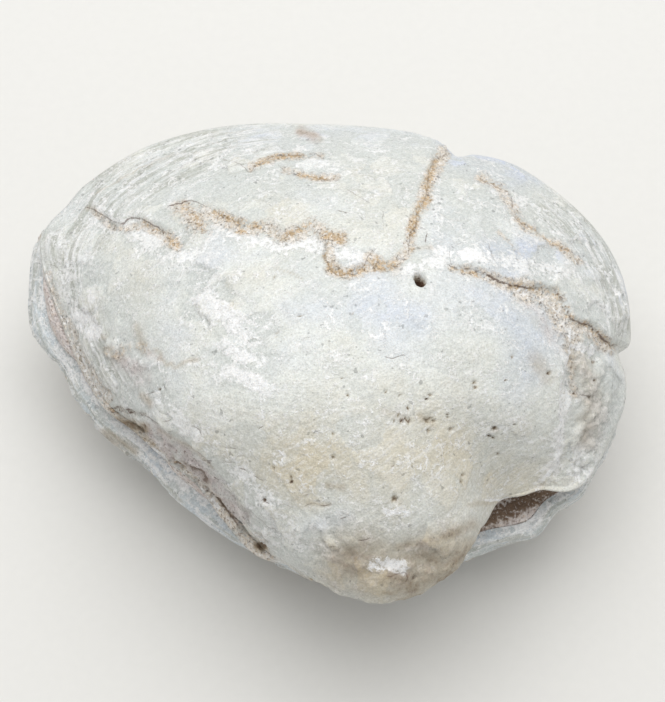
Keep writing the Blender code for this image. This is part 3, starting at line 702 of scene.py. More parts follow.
def crack_field(x, y, lines):
    """Distance to the nearest dark crack in its half-widths, with sign, and its strength."""
    distance = np.full(x.shape, NO_CRACK)
    strength = np.zeros(x.shape)
    for pixels, width, dark in lines:
        scaled = along_route(x, y, on_seam_plane(pixels))[0] / width
        closer = np.abs(scaled) < np.abs(distance)
        distance = np.where(closer, scaled, distance)
        strength = np.maximum(strength, dark * (1 - smooth_step(np.abs(scaled), *CRACK_FADE)))
    return distance, strength


def swell(x, y, shape):
    """A smooth bulge or hollow."""
    centre_x, centre_y, wide, deep, height = shape
    return height * np.exp(-(((x - centre_x) / wide) ** 2) - (((y - centre_y) / deep) ** 2))


def plate_height(x, y):
    """Height of the broken outer plates."""
    height = np.zeros(x.shape)
    for pixels, side, rise, reach in PLATES:
        signed, fade = along_route(x, y, on_seam_plane(pixels))
        inside = signed * side
        raised = 1 / (1 + np.exp(-np.clip(inside / PLATE_EDGE, -40, 40)))
        height += rise * fade * raised * np.exp(-np.maximum(inside, 0) / reach)
    return height


def pit_depth(x, y, pits):
    """Depth of the small pits, and how dark they are painted: dirt in them and painted shade, darker the
    deeper they are.
    """
    depth = np.zeros(x.shape)
    dark = np.zeros(x.shape)
    for px, py, radius, deep in pits:
        (cx, cy), = on_seam_plane(((px, py),))
        bowl = np.exp(-(((x - cx) ** 2 + (y - cy) ** 2) / (PIT_WIDER * radius) ** 2) ** 1.5)
        depth += PIT_DEEPER * deep * bowl
        dark = np.maximum(dark, bowl * (0.65 + 1.1 * deep))
    return depth, dark


def valve_section(reach, power):
    """Share of the radius and share of the height along a section, from apex to rim."""
    round_share = np.minimum(2.0 - power, 1.0)
    out = (1 - round_share) * reach + round_share * np.sin(reach * pi / 2)
    return out, np.clip(1 - out**2, 0.0, 1.0) ** (power / 2)


def upper_form(theta, reach):
    """Plain form of the upper valve at a direction and a share of the way to the rim."""
    soft = around(theta, UPPER_SOFT)
    radius = soft + (around(theta, UPPER_RADIUS) - soft) * reach**10
    out, lift = valve_section(reach, around(theta, UPPER_POWER))
    beak = around(theta, UPPER_BEAK) * np.sin(pi * reach**BEAK_LEVEL)
    x = UPPER_APEX[0] + (radius * out + beak) * np.cos(theta)
    y = UPPER_APEX[1] + (radius * out + beak) * np.sin(theta)
    broken = (around(theta, UPPER_EDGE) - PLAIN_EDGE) * reach**12
    base = seam_half(x, y) + PLAIN_EDGE + broken
    return np.column_stack((x, y, base + (UPPER_HEIGHT - base) * lift))


def lower_form(theta, reach):
    """Underside of the lower valve, from its deepest point to its widest line."""
    soft = around(theta, LOWER_SOFT)
    radius = soft + (around(theta, LOWER_RADIUS) - soft) * reach**10
    out, lift = valve_section(reach, around(theta, LOWER_POWER))
    x = LOWER_APEX[0] + radius * out * np.cos(theta)
    y = LOWER_APEX[1] + radius * out * np.sin(theta)
    return np.column_stack((x, y, -LOWER_GIRTH - (LOWER_DEPTH - LOWER_GIRTH) * lift))


def form_normals(form, theta, reach, up):
    """Unit normals of a form, pointing out; up is 1 for the upper valve and -1 for the lower."""
    step = 0.01
    across = form(theta + step, reach) - form(theta - step, reach)
    inner = np.maximum(reach - step, 0.002)
    outward = form(theta, inner + step) - form(theta, inner)
    normal = np.cross(outward, across) * up
    size = np.linalg.norm(normal, axis=1)
    middle = reach < 0.002
    normal[middle] = (0.0, 0.0, up)
    size[middle] = 1.0
    return normal / np.maximum(size, 1e-9)[:, None]


def facing(points, normals, low, high):
    """1 where the surface faces SIGHT, 0 where it turns away, smooth between two cosines."""
    sight_line = np.array(SIGHT) - points
    sight_line /= np.linalg.norm(sight_line, axis=1)[:, None]
    return smooth_step((sight_line * normals).sum(axis=1), low, high)


def disc_grid(cells):
    """Direction and share of the radius of a square grid pressed into a disc."""
    line = np.linspace(-1.0, 1.0, cells + 1)
    u, v = (part.ravel() for part in np.meshgrid(line, line))
    wide = np.abs(u) >= np.abs(v)
    longer = np.where(wide, u, v)
    safe = np.where(longer == 0.0, 1.0, longer)
    angle = np.where(wide, pi / 4 * v / safe, pi / 2 - pi / 4 * u / safe)
    x = longer * np.cos(angle)
    y = longer * np.sin(angle)
    return np.arctan2(y, x), np.hypot(x, y)


def grid_faces(cells):
    """Quads of the square grid and the loop of its outer points, both counter-clockwise."""
    side = cells + 1
    index = np.arange(side * side).reshape(side, side)
    corners = (index[:-1, :-1], index[:-1, 1:], index[1:, 1:], index[1:, :-1])
    faces = np.stack([corner.ravel() for corner in corners], axis=1).tolist()
    loop = np.concatenate((index[0, :-1], index[:-1, -1], index[-1, :0:-1], index[:0:-1, 0]))
    return faces, loop


def wall_faces(upper_loop, lower_loop):
    """Quads between two loops, facing away from their middle."""
    return np.stack((upper_loop, lower_loop, np.roll(lower_loop, -1), np.roll(upper_loop, -1)),
                    axis=1).tolist()


def lay_down(points):
    """Shell frame in millimetres to the laid position in metres."""
    lean = radians(TILT)
    x, y, z = np.asarray(points, dtype=float).T
    laid = (x - CENTRE_X, y * cos(lean) - z * sin(lean) - CENTRE_Y,
            y * sin(lean) + z * cos(lean) + REST_HEIGHT)
    return np.column_stack(laid) * MM


def add_piece(name, points, faces, fields, material):
    """A mesh object from points in the shell frame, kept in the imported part's box."""
    low = np.array(CAD_LOW) + BOX_GAP
    low[2] = 0.0
    placed = np.clip(lay_down(points), low, np.array(CAD_HIGH) - BOX_GAP)
    mesh = bpy.data.meshes.new(name)
    mesh.from_pydata(placed.tolist(), [], faces)
    for field, values in fields.items():
        attribute = mesh.attributes.new(field, "FLOAT_VECTOR", "POINT")
        attribute.data.foreach_set("vector", np.column_stack(values).astype(np.float32).ravel())
    mesh.materials.append(material)
    mesh.shade_smooth()
    piece = bpy.data.objects.new(name, mesh)
    bpy.context.scene.collection.objects.link(piece)
    return piece


def broken_cells(points, size, shift=0.0):
    """A random value for each cell of a broken pattern, and the distance to the cell's edge."""
    values, edges = [], []
    for row in (points / size + shift).tolist():
        apart, centres = noise.voronoi(row)
        values.append(noise.cell(centres[0] * 9.7))
        edges.append((apart[1] - apart[0]) * size / 2)
    return np.array(values), np.array(edges)


def surface_fields(points, normals, rim_distance, marks, plain_level):
    """Everything that is painted or raised on a valve, from where each point is.

    The hidden side gets broken plates, with grit and rust in some of their cracks, and soft stains.
    plain_level is how strongly flakes, crust and growth lines show where no mark says."""
    x, y = seen(points)
    x = x + WAVER * ripple(points, WAVER_SIZE, 2, 3.0)
    y = y + WAVER * ripple(points, WAVER_SIZE, 2, 9.0)
    shown = facing(points, normals, *CRISP_END)
    hidden = 1 - shown
    distance, dark = crack_field(x, y, marks["lines"])
    depth, pit_shade_and_dirt = pit_depth(x, y, marks["pits"])
    area = {name: mark_share(x, y, marks[name]) * shown for name in CRISP_MARKS}
    carried_on = facing(points, normals, *SOFT_END)
    area |= {name: mark_share(x, y, marks[name]) * carried_on for name in SOFT_MARKS}

    waves = [ripple(points, BEND_SIZE, 2, shift) for shift in (1.0, 2.0, 3.0)]
    bent = points + BEND * np.column_stack(waves)
    plate, edge = broken_cells(bent, PLATE_SIZE, 5.0)
    edge_on = smooth_step(ripple(points, 9.0, 2, 31.0), -0.25, 0.15) * hidden
    scaled = edge / HIDDEN_CRACK
    distance = np.where(hidden * NO_CRACK > np.abs(distance), scaled, distance)
    dark = dark * shown + edge_on * 0.7 * (1 - smooth_step(scaled, *CRACK_FADE))
    packed = edge_on * np.exp(-((edge / HIDDEN_GRIT) ** 2))
    area["grit"] += 0.85 * packed
    area["rust"] += 0.8 * packed * smooth_step(ripple(points, 7.0, 2, 41.0), -0.1, 0.3)
    for name, most, size, octaves, shift, low, high in HIDDEN_STAINS:
        area[name] += most * hidden * smooth_step(ripple(points, size, octaves, shift), low, high)

    flake, flake_edge = broken_cells(bent, FLAKE_SIZE, 15.0)
    chip = broken_cells(bent, CHIP_SIZE, 25.0)[0]
    level = plain_level * np.maximum(hidden, 0.45)
    flaky = np.maximum(area["flaky"], level)
    outlined = 0.62 * smooth_step(flaky, 0.4, 0.9) * np.exp(-((flake_edge / FLAKE_EDGE) ** 2))
    # Pits take the brown and the crack colour: dirt in them, and painted shade that grows with their
    # depth
    in_pit = pit_shade_and_dirt * shown
    area["brown"] = np.maximum(area["brown"], smooth_step(in_pit, 0.2, 0.9))
    distance = np.where(in_pit > 0.3, 0.0, distance)
    area.update(
        x=x, y=y, shown=shown, crack=distance, dark=np.maximum(dark, in_pit), pit=depth * shown,
        rim=rim_distance, plate=hidden * plate, flaky=flaky, flake=flake, chip=chip,
        crust=np.maximum(np.maximum(area["crust"], outlined), 0.3 + 0.2 * level),
        streaky=np.maximum(area["streaky"], level))
    return area


def fine_relief(points, found):
    """Height of cracks, grit, powder, flakes, pits and growth ridges over the plain form."""
    height = WAVE_HEIGHT * ripple(points, WAVE_SIZE, 3) - SUNK
    height += DIMPLE_HEIGHT * ripple(points, DIMPLE_SIZE, 3, 5.0)
    height += PLATE_RISE * found["plate"] * (1 - found["shown"])
    chips = found["chip"] > CHIPS_FROM
    height += found["flaky"] * (FLAKE_RISE * found["flake"] + CHIP_RISE * chips)
    height -= GROOVE_DEPTH * np.exp(-((found["crack"] / GROOVE_WIDTH) ** 2)) * found["dark"]
    grains = ripple(points, GRIT_LUMP, 2, 7.0)
    height += found["grit"] * (GRIT_ROUGHNESS * grains - GRIT_SINK)
    powder = np.maximum(found["white"], found["crust"] - THICK_CRUST)
    height += powder * (POWDER_HEIGHT + POWDER_ROUGHNESS * grains)
    height -= found["pit"]
    ridge = np.sin(found["rim"] * RIDGE_RATE + 2.0 * ripple(points, RIDGE_WANDER, 1))
    return height + RIDGE_HEIGHT * ridge * found["streaky"]


def painted_fields(found):
    """The mesh attributes that the opal's material reads."""
    return {
        "tone": (found["warm"] - found["blue"], found["white"], found["brown"]),
        "dirt": (found["grit"], found["rust"], found["lilac"]),
        "crack": (found["crack"], found["dark"], found["rim"]),
        "skin": (found["flaky"] * (found["flake"] - 0.5 + 0.5 * (found["chip"] - 0.5)),
                 found["crust"], found["streaky"]),
    }


def make_upper_valve(material):
    """Domed valve on top, with its broken plates, cracks, pits and grit.

    Its edge has a wall down to the seam: straight, leaning in under the broken lip, or
    spreading out as a crumbly skirt over the grit at the left."""
    theta, reach = disc_grid(UPPER_CELLS)
    faces, loop = grid_faces(UPPER_CELLS)
    dome = upper_form(theta, reach)
    edge = dome[loop]
    undercut = around(theta[loop], UPPER_UNDERCUT)
    broken = smooth_step(undercut, *LIP_FROM)
    skirt = smooth_step(-undercut, *SKIRT_FROM)
    away = np.column_stack((np.cos(theta[loop]), np.sin(theta[loop]), np.zeros(len(loop))))
    foot = edge - away * undercut[:, None]
    foot[:, 2] = seam_half(foot[:, 0], foot[:, 1])
    leaning = away + np.outer(skirt, (0.0, 0.0, 1.5))
    leaning /= np.linalg.norm(leaning, axis=1)[:, None]
    rings, last = [dome], loop
    for row in range(1, UPPER_WALL_ROWS + 1):
        share = row / UPPER_WALL_ROWS
        ring = edge + (foot - edge) * share
        waves = ripple(ring, *WALL_WAVES) + 0.5 * ripple(ring, *WALL_CRUMBS)
        rough = (0.1 + 0.9 * broken) * (1 - skirt) * sin(pi * min(share, 0.98)) * np.abs(waves)
        ring -= away * rough[:, None]
        ring[:, 2] += skirt * sin(pi * share) * (0.5 + 0.45 * waves)
        ring_loop = np.arange(len(loop)) + sum(len(part) for part in rings)
        faces += wall_faces(last, ring_loop)
        rings.append(ring)
        last = ring_loop
    faces.append(last[::-1].tolist())
    plain = np.vstack(rings)
    rows = UPPER_WALL_ROWS
    normals = np.vstack([form_normals(upper_form, theta, reach, 1)] + [leaning] * rows)
    rim_distance = np.concatenate((1.2 * around(theta, UPPER_SOFT) * (1 - reach),
                                   np.zeros(rows * len(loop))))
    found = surface_fields(plain, normals, rim_distance, UPPER_MARKS, 0.5)
    height = fine_relief(plain, found)
    height += plate_height(found["x"], found["y"]) * found["shown"]
    x, y = seen(plain)
    for route, width, tall, size in LUMPY_AREAS:
        height += mark_share(x, y, ((route, width, tall),)) * ripple(plain, size, 3, 17.0)
    height += sum(swell(x, y, shape) for shape in SWELLS)
    held = np.concatenate((np.clip((1.0 - reach) / 0.03, 0.0, 1.0), np.zeros(rows * len(loop))))
    points = plain + normals * (height * held)[:, None]

    wall = slice(len(dome), None)
    down = np.repeat(np.arange(1, rows + 1) / rows, len(loop))
    broken, skirt = np.tile(broken, rows), np.tile(skirt, rows)
    # Brown on the broken lip's wall: dirt, and painted shade, darkest at the top right under the lip
    stain_and_shade = broken * (1.75 - 1.05 * down + 0.25 * ripple(plain[wall], *WALL_WAVES))
    for name, least in (("grit", np.maximum(0.85 * broken, 0.7 * skirt)), ("brown", stain_and_shade),
                        ("crust", 0.6 * skirt + 0.5 * broken * (down > 0.8))):
        found[name][wall] = np.maximum(found[name][wall], least)
    return add_piece("opal_upper_valve", points, faces, painted_fields(found), material)


def make_lower_valve(material):
    """Shallower valve underneath, its edge rolled in, with growth lines, on a worn flat."""
    theta, reach = disc_grid(LOWER_CELLS)
    faces, loop = grid_faces(LOWER_CELLS)
    faces = [face[::-1] for face in faces]
    plain = lower_form(theta, reach)
    normals = form_normals(lower_form, theta, reach, -1)
    rim = plain[loop]
    outward = rim[:, :2] - np.array(LOWER_APEX)
    outward /= np.linalg.norm(outward, axis=1)[:, None]
    roll = around(theta[loop], LOWER_ROLL_IN)
    rings, normal_rings, last = [plain], [normals], loop
    for row in range(1, LOWER_ROLL_ROWS + 1):
        turn = pi / 2 * row / LOWER_ROLL_ROWS
        ring = rim.copy()
        ring[:, :2] -= outward * (roll * (1 - cos(turn)))[:, None]
        top = -seam_half(ring[:, 0], ring[:, 1])
        ring[:, 2] = -LOWER_GIRTH + (top + LOWER_GIRTH) * sin(turn)
        ring_loop = np.arange(len(loop)) + sum(len(part) for part in rings)
        faces += wall_faces(ring_loop, last)
        rings.append(ring)
        normal_rings.append(np.column_stack((outward * cos(turn), np.full(len(loop), sin(turn)))))
        last = ring_loop
    faces.append(last.tolist())
    points = np.vstack(rings)
    normals = np.vstack(normal_rings)
    rim_all = lower_form(theta, np.ones(theta.shape))
    rim_distance = np.concatenate([np.linalg.norm(plain - rim_all, axis=1)]
                                  + [np.linalg.norm(ring - rim, axis=1) for ring in rings[1:]])
    found = surface_fields(points, normals, rim_distance, LOWER_MARKS, 0.8)
    turned = np.zeros(len(points))
    turned[len(plain):] = np.repeat(np.arange(1, LOWER_ROLL_ROWS + 1) / LOWER_ROLL_ROWS, len(loop))
    found["crust"] = np.maximum(found["crust"], 0.55 * smooth_step(turned, 0.6, 0.9))
    found["streaky"] = np.maximum(found["streaky"], np.exp(-rim_distance / 12.0))
    height = fine_relief(points, found)
    height[-len(loop):] = 0.0
    return add_piece("opal_lower_valve", points + normals * height[:, None], faces,
                     painted_fields(found), material)


def make_grit(material):
    """Packed grit in the seam, rough, standing proud on the lower valve's shelf at the left."""
    theta = np.arange(GRIT_POINTS) * 2 * pi / GRIT_POINTS
    upper = around(theta, radius_table(true_place(UPPER_RIM, UPPER_RIM_HEIGHT), (0.0, 0.0)))
    lower = around(theta, radius_table(LOWER_RIM, (0.0, 0.0))) - around(theta, LOWER_ROLL_IN)
    foot = lower - around(theta, station_table(GRIT_FOOT_INSET, 4.0))
    top = np.minimum(upper - around(theta, station_table(GRIT_TOP_INSET, 4.0)), foot)
    rings, faces = [], []
    for row in range(GRIT_ROWS + 1):
        share = row / GRIT_ROWS
        radius = top + (foot - top) * share + GRIT_BULGE * sin(pi * share)
        x, y = radius * np.cos(theta), radius * np.sin(theta)
        ring = np.column_stack((x, y, seam_half(x, y) * (1 - 2 * share)))
        rough = sum(height * ripple(ring, *waves) for height, *waves in PACKED_LUMPS)
        ring[:, 2] += rough * sin(pi * share)
        rings.append(ring)
    loops = [np.arange(GRIT_POINTS) + GRIT_POINTS * row for row in range(GRIT_ROWS + 1)]
    for upper_loop, lower_loop in zip(loops, loops[1:]):
        faces += wall_faces(upper_loop, lower_loop)
    faces += [loops[0].tolist(), loops[-1][::-1].tolist()]
    points = np.vstack(rings)
    x, y = seen(points)
    # Brown on the grit: staining and dirt, and painted shade in the hollow under the broken lip
    stain_and_shade = np.maximum(mark_share(x, y, BROWN_MARKS), mark_share(x, y, HOLLOW_DIRT_AND_SHADE))
    fields = {"dirt": (mark_share(x, y, RUST_SPOTS), stain_and_shade, np.zeros(len(points)))}
    return add_piece("packed_grit", points, faces, fields, material)


def add_node(tree, kind, links=(), **settings):
    """Add a shader node with its settings and its inputs set or linked, and give its outputs.

    Inputs are named or numbered in a dict, or come in their order."""
    made = tree.nodes.new("ShaderNode" + kind)
    for name, value in settings.items():
        setattr(made, name, value)
    for key, value in (links if isinstance(links, dict) else dict(enumerate(links))).items():
        if isinstance(value, bpy.types.NodeSocket):
            tree.links.new(value, made.inputs[key])
        else:
            made.inputs[key].default_value = value
    return made.outputs


def start_material(name):
    """A new material, its node tree, its shader and the place on the object."""
    material = bpy.data.materials.new(name)
    material.use_nodes = True
    tree = material.node_tree
    return material, tree, tree.nodes["Principled BSDF"], add_node(tree, "TexCoord")["Object"]


def read_field(tree, name):
    """The three parts of a mesh attribute."""
    vector = add_node(tree, "Attribute", attribute_name=name)["Vector"]
    return add_node(tree, "SeparateXYZ", (vector,))


def speckle(tree, place, size, low, high, detail=3.0, crisp=0.5):
    """A noise with grains of a size in metres, stretched between two levels."""
    texture = add_node(tree, "TexNoise", {"Vector": place, "Scale": 1.0 / size, "Detail": detail,
                                          "Roughness": crisp})
    return add_node(tree, "MapRange", (texture["Fac"], low, high))[0]


def veins(tree, place, size):
    """Thin wavering lines, which break up the edges of crust and powder."""
    texture = add_node(tree, "TexNoise", {"Vector": place, "Scale": 1.0 / size, "Detail": 5.0,
                                          "Roughness": 0.6})
    above = add_node(tree, "Math", (texture["Fac"], 0.5), operation="SUBTRACT")[0]
    beside = add_node(tree, "Math", (above,), operation="ABSOLUTE")[0]
    return add_node(tree, "MapRange", (beside, 0.03, 0.0))[0]


def lay_over(tree, under, tint, mask, breakup, edge=0.25, ragged=0.7, most=1.0):
    """A tint over what is under it, where the mask, broken up by a noise, passes a half.

    Gives the colour and the tint's share."""
    uneven = add_node(tree, "Math", (breakup, 2 * ragged, 1 - ragged), operation="MULTIPLY_ADD")[0]
    total = add_node(tree, "Math", (mask, uneven), operation="MULTIPLY")[0]
    share = add_node(tree, "MapRange", (total, 0.5 - edge, 0.5 + edge, 0.0, most),
                     interpolation_type="SMOOTHSTEP")[0]
    return add_node(tree, "Mix", {0: share, 6: under, 7: tint}, data_type="RGBA")[2], share


def dust_over(tree, under, tint, amount, most):
    """A tint over what is under it, as strongly as an amount says, up to a most."""
    share = add_node(tree, "Math", (amount, most), operation="MULTIPLY")[0]
    return add_node(tree, "Mix", {0: share, 6: under, 7: tint}, data_type="RGBA")[2]


def shade_by(tree, under, amount, dark, light):
    """What is under, made darker or lighter by an amount from 0 to 1."""
    level = add_node(tree, "MapRange", {0: amount, 3: dark, 4: light})[0]
    return add_node(tree, "Mix", {0: 1.0, 6: under, 7: level}, data_type="RGBA",
                    blend_type="MULTIPLY")[2]


def roughened(tree, layers):
    """The normal under several reliefs, each given as its pattern, strength and depth in mm."""
    links = {}
    for pattern, strength, depth in layers:
        links |= {"Strength": strength, "Distance": depth * MM, "Height": pattern}
        links["Normal"] = add_node(tree, "Bump", links)[0]
    return links["Normal"]


def crack_share(tree, marks, noises):
    """Where the dark bottom of a crack shows: a thin line that wavers and breaks off."""
    wobble = add_node(tree, "Math", (noises.grains, 0.8, -0.4), operation="MULTIPLY_ADD")[0]
    wavered = add_node(tree, "Math", (marks.distance, wobble), operation="ADD")[0]
    from_line = add_node(tree, "Math", (wavered,), operation="ABSOLUTE")[0]
    pushed = add_node(tree, "Math", (from_line, 0.75), operation="ADD")[0]
    thinned = add_node(tree, "Math", (noises.fleck, -1.3, pushed), operation="MULTIPLY_ADD")[0]
    in_line = add_node(tree, "MapRange", (thinned, 1.3, 0.3), interpolation_type="SMOOTHSTEP")[0]
    whole = add_node(tree, "MapRange", (noises.fleck, 0.3, 0.6, 0.2),
                     interpolation_type="SMOOTHSTEP")[0]
    unbroken = add_node(tree, "Math", (in_line, whole), operation="MULTIPLY")[0]
    return add_node(tree, "Math", (unbroken, marks.dark), operation="MULTIPLY")[0]


def growth_streaks(tree, place, marks, spacing):
    """Fine growth lines along the margin, each broken off after a few millimetres.

    The noise's cells are as long as a streak, and squeezed to the spacing across the lines."""
    x, y = add_node(tree, "SeparateXYZ", (place,))[:2]
    across = add_node(tree, "Math", (marks.rim, STREAK_LENGTH * MM), operation="MULTIPLY")[0]
    joined = add_node(tree, "CombineXYZ", (across, x, y))[0]
    streaks = speckle(tree, joined, STREAK_LENGTH * spacing, 0.42, 0.62, 3.0, 0.6)
    return add_node(tree, "Math", (streaks, marks.streaky), operation="MULTIPLY")[0]


def sandy_colour(tree, place, tint, rust):
    """Loose sand: beige, white and rusty grains side by side, with dark gaps between them.

    The grains are medium sand, which is 2 to 3 pixels in the photograph."""
    grit = bpy.context.scene.clam_grit
    fine = speckle(tree, place, 0.55 * MM, 0.32, 0.66, 4.0, 0.65)
    coarse = speckle(tree, place, 0.38 * MM, 0.36, 0.64, 4.0, 0.7)
    gaps = speckle(tree, place, grit.grain, 0.57, 0.66, 2.0, 0.6)
    crumbs = speckle(tree, place, 0.9 * MM, 0.5, 0.6, 3.0, 0.7)
    pale = add_node(tree, "Math", (fine, crumbs), operation="MAXIMUM")[0]
    colour = dust_over(tree, tint, bpy.context.scene.clam_opal.chalk, pale, 0.75)
    colour = lay_over(tree, colour, grit.rust, rust, coarse, 0.35, 1.0, 0.72)[0]
    colour = dust_over(tree, colour, grit.brown, gaps, 0.78)
    return shade_by(tree, colour, fine, 0.9, 1.02)


def opal_marks(tree):
    """What the mesh says about each place on the opal."""
    warmth, white, shade = read_field(tree, "tone")
    sand, rust, lilac = read_field(tree, "dirt")
    distance, dark, rim = read_field(tree, "crack")
    flake, crust, streaky = read_field(tree, "skin")
    return SimpleNamespace(warmth=warmth, white=white, shade=shade, sand=sand, rust=rust,
                           lilac=lilac, distance=distance, dark=dark, rim=rim, flake=flake,
                           crust=crust, streaky=streaky)


def opal_noises(tree, place):
    """The opal's textures. Its sugary grain and its scratches are taken as finer than 0.1 mm, too
    fine to show, so both are drawn a few times coarser. The rest are sized from the
    photograph."""
    opal = bpy.context.scene.clam_opal
    fine = speckle(tree, place, 0.6 * MM, 0.32, 0.68, 5.0, 0.65)
    patch = speckle(tree, place, 3.0 * MM, 0.34, 0.66, 6.0, 0.6)
    both = add_node(tree, "Math", (fine, patch), operation="ADD")[0]
    fleck = add_node(tree, "Math", (both, 0.5), operation="MULTIPLY")[0]
    dulled = add_node(tree, "Math", (fleck, 0.92), operation="MULTIPLY")[0]
    frost = add_node(tree, "Math", (veins(tree, place, 2.4 * MM), 0.3, dulled),
                     operation="MULTIPLY_ADD")[0]
    combed = add_node(tree, "Mapping", {"Vector": place, "Rotation": (0.0, 0.0, radians(38.0)),
                                        "Scale": (18.0, 1.0, 1.0)}, vector_type="TEXTURE")[0]
    return SimpleNamespace(
        fine=fine, patch=patch, fleck=fleck, frost=frost,
        sugar=speckle(tree, place, opal.grain, 0.28, 0.72, 2.0),
        cloud=speckle(tree, place, 9.0 * MM, 0.3, 0.7, 4.0),
        grains=speckle(tree, place, bpy.context.scene.clam_grit.grain, 0.3, 0.7, 2.0),
        dots=speckle(tree, place, 0.9 * MM, 0.71, 0.75, 1.0),
        gaps=speckle(tree, place, 0.36 * MM, 0.57, 0.68, 2.0, 0.6),
        scratches=speckle(tree, combed, 0.34 * MM, 0.5, 0.72, 2.0))


def clean_opal(tree, place, marks, noises, body, blue, warm):
    """Cloudy opal with warm and blue zones, flakes of their own tone, scratches and growth lines.

    Gives the colour and the share of the pale growth lines."""
    opal = bpy.context.scene.clam_opal
    drift = add_node(tree, "Math", (noises.cloud, 0.8, -0.42), operation="MULTIPLY_ADD")[0]
    leaning = add_node(tree, "Math", (marks.warmth, drift), operation="ADD")[0]
    colour = body
    for amount, tint, end, most in ((leaning, warm, 1.0, 1.0), (leaning, blue, -1.0, 1.0),
                                    (marks.flake, opal.grey, -0.6, 0.8),
                                    (marks.flake, opal.chalk, 0.8, 0.7)):
        share = add_node(tree, "MapRange", (amount, 0.0, end, 0.0, most))[0]
        colour = add_node(tree, "Mix", {0: share, 6: colour, 7: tint}, data_type="RGBA")[2]
    colour = dust_over(tree, colour, opal.chalk, noises.scratches, 0.45)
    pale = growth_streaks(tree, place, marks, opal.growth)
    colour, pale_share = lay_over(tree, colour, opal.chalk, pale, noises.fleck, 0.35, 0.5, 0.8)
    darker = growth_streaks(tree, place, marks, opal.growth * 1.9)
    colour = lay_over(tree, colour, opal.line, darker, noises.patch, 0.35, 0.5, 0.6)[0]
    return colour, pale_share


def weathered(tree, place, marks, noises, colour):
    """What lies on the opal: crust, clay, rust, sand, stains, dirt, powder and dark cracks, with painted
    shade in hollows, pits and on the beak's flank.

    Gives the colour and the shares of crust, sand and powder."""
    opal = bpy.context.scene.clam_opal
    grit = bpy.context.scene.clam_grit
    colour, crust = lay_over(tree, colour, opal.chalk, marks.crust, noises.frost, 0.11, 1.0, 0.75)
    colour, clay = lay_over(tree, colour, grit.lilac, marks.lilac, noises.patch, 0.45, 0.5, 0.9)
    in_gaps = add_node(tree, "Math", (noises.gaps, clay), operation="MULTIPLY")[0]
    colour = dust_over(tree, colour, grit.dark, in_gaps, 1.0)
    colour = lay_over(tree, colour, grit.stain_and_shade, marks.rust, noises.patch, 0.5, 0.6, 0.35)[0]
    sandy = sandy_colour(tree, place, grit.sand, marks.rust)
    colour, sand = lay_over(tree, colour, sandy, marks.sand, noises.fleck, 0.3, 0.9, 0.92)
    # Ochre, then brown where strong, from the shade field: staining and dirt, and painted shade in
    # hollows, pits, under the broken lip and on the beak's flank
    colour = lay_over(tree, colour, grit.stain_and_shade, marks.shade, noises.patch, 0.5, 0.16, 0.74)[0]
    deep = add_node(tree, "Math", (marks.shade, 0.58), operation="MULTIPLY")[0]
    colour = lay_over(tree, colour, grit.brown, deep, noises.fleck, 0.2, 0.5, 0.9)[0]
    colour, powder = lay_over(tree, colour, opal.chalk, marks.white, noises.frost, 0.15, 0.8, 0.9)
    colour = dust_over(tree, colour, grit.dark, crack_share(tree, marks, noises), 1.0)
    for amount, dark, light in ((noises.fine, 0.88, 1.04), (noises.sugar, 0.82, 1.09),
                                (noises.dots, 1.0, 0.66)):
        colour = shade_by(tree, colour, amount, dark, light)
    return colour, crust, sand, powder


def opal_material(name, body, blue, warm):
    """Common opal, without play of colour, worn by the ground. The eye gets a soft satin sheen, a
    little light under the surface, and a sugary skin that is matt where powder or sand lies."""
    material, tree, shader, place = start_material(name)
    marks = opal_marks(tree)
    noises = opal_noises(tree, place)
    colour, pale_lines = clean_opal(tree, place, marks, noises, body, blue, warm)
    colour, crust, sand, powder = weathered(tree, place, marks, noises, colour)
    tree.links.new(colour, shader.inputs["Base Color"])

    dull = add_node(tree, "Math", (powder, sand), operation="MAXIMUM")[0]
    satin = bpy.context.scene.clam_opal.roughness
    roughness = add_node(tree, "MapRange", {0: dull, 3: satin, 4: 0.85})[0]
    tree.links.new(roughness, shader.inputs["Roughness"])
    shader.inputs["IOR"].default_value = 1.45
    shader.inputs["Subsurface Weight"].default_value = 0.15
    shader.inputs["Subsurface Radius"].default_value = (1.0, 0.9, 0.8)
    shader.inputs["Subsurface Scale"].default_value = 1.0 * MM

    gritty = add_node(tree, "Math", (noises.grains, sand), operation="MULTIPLY")[0]
    normal = roughened(tree, ((gritty, 0.8, 0.14), (noises.sugar, 0.6, 0.05),
                              (noises.fine, 0.6, 0.08), (pale_lines, 0.5, 0.05),
                              (crust, 0.6, 0.06)))
    tree.links.new(normal, shader.inputs["Normal"])
    return material


def grit_material():
    """Packed sand and clay, dry and matt: grains catch the light one by one, with dark gaps."""
    grit = bpy.context.scene.clam_grit
    material, tree, shader, place = start_material("Packed sandy grit, rough and matt")
    rust, brown = read_field(tree, "dirt")[:2]
    grains = speckle(tree, place, grit.grain, 0.3, 0.7, 2.0)
    patch = speckle(tree, place, 2.2 * MM, 0.35, 0.65, 5.0, 0.6)
    colour = sandy_colour(tree, place, grit.pink, rust)
    colour = lay_over(tree, colour, grit.lilac, patch, grains, 0.3, 0.4, 0.6)[0]
    # The brown here is dirt, and painted shade in the hollow under the broken lip
    deep = add_node(tree, "Math", (brown, 0.92), operation="MULTIPLY")[0]
    colour = lay_over(tree, colour, grit.brown, deep, grains, 0.35, 0.6, 0.95)[0]
    tree.links.new(colour, shader.inputs["Base Color"])
    shader.inputs["Roughness"].default_value = 0.88
    tree.links.new(roughened(tree, ((grains, 0.9, 0.25),)), shader.inputs["Normal"])
    return material


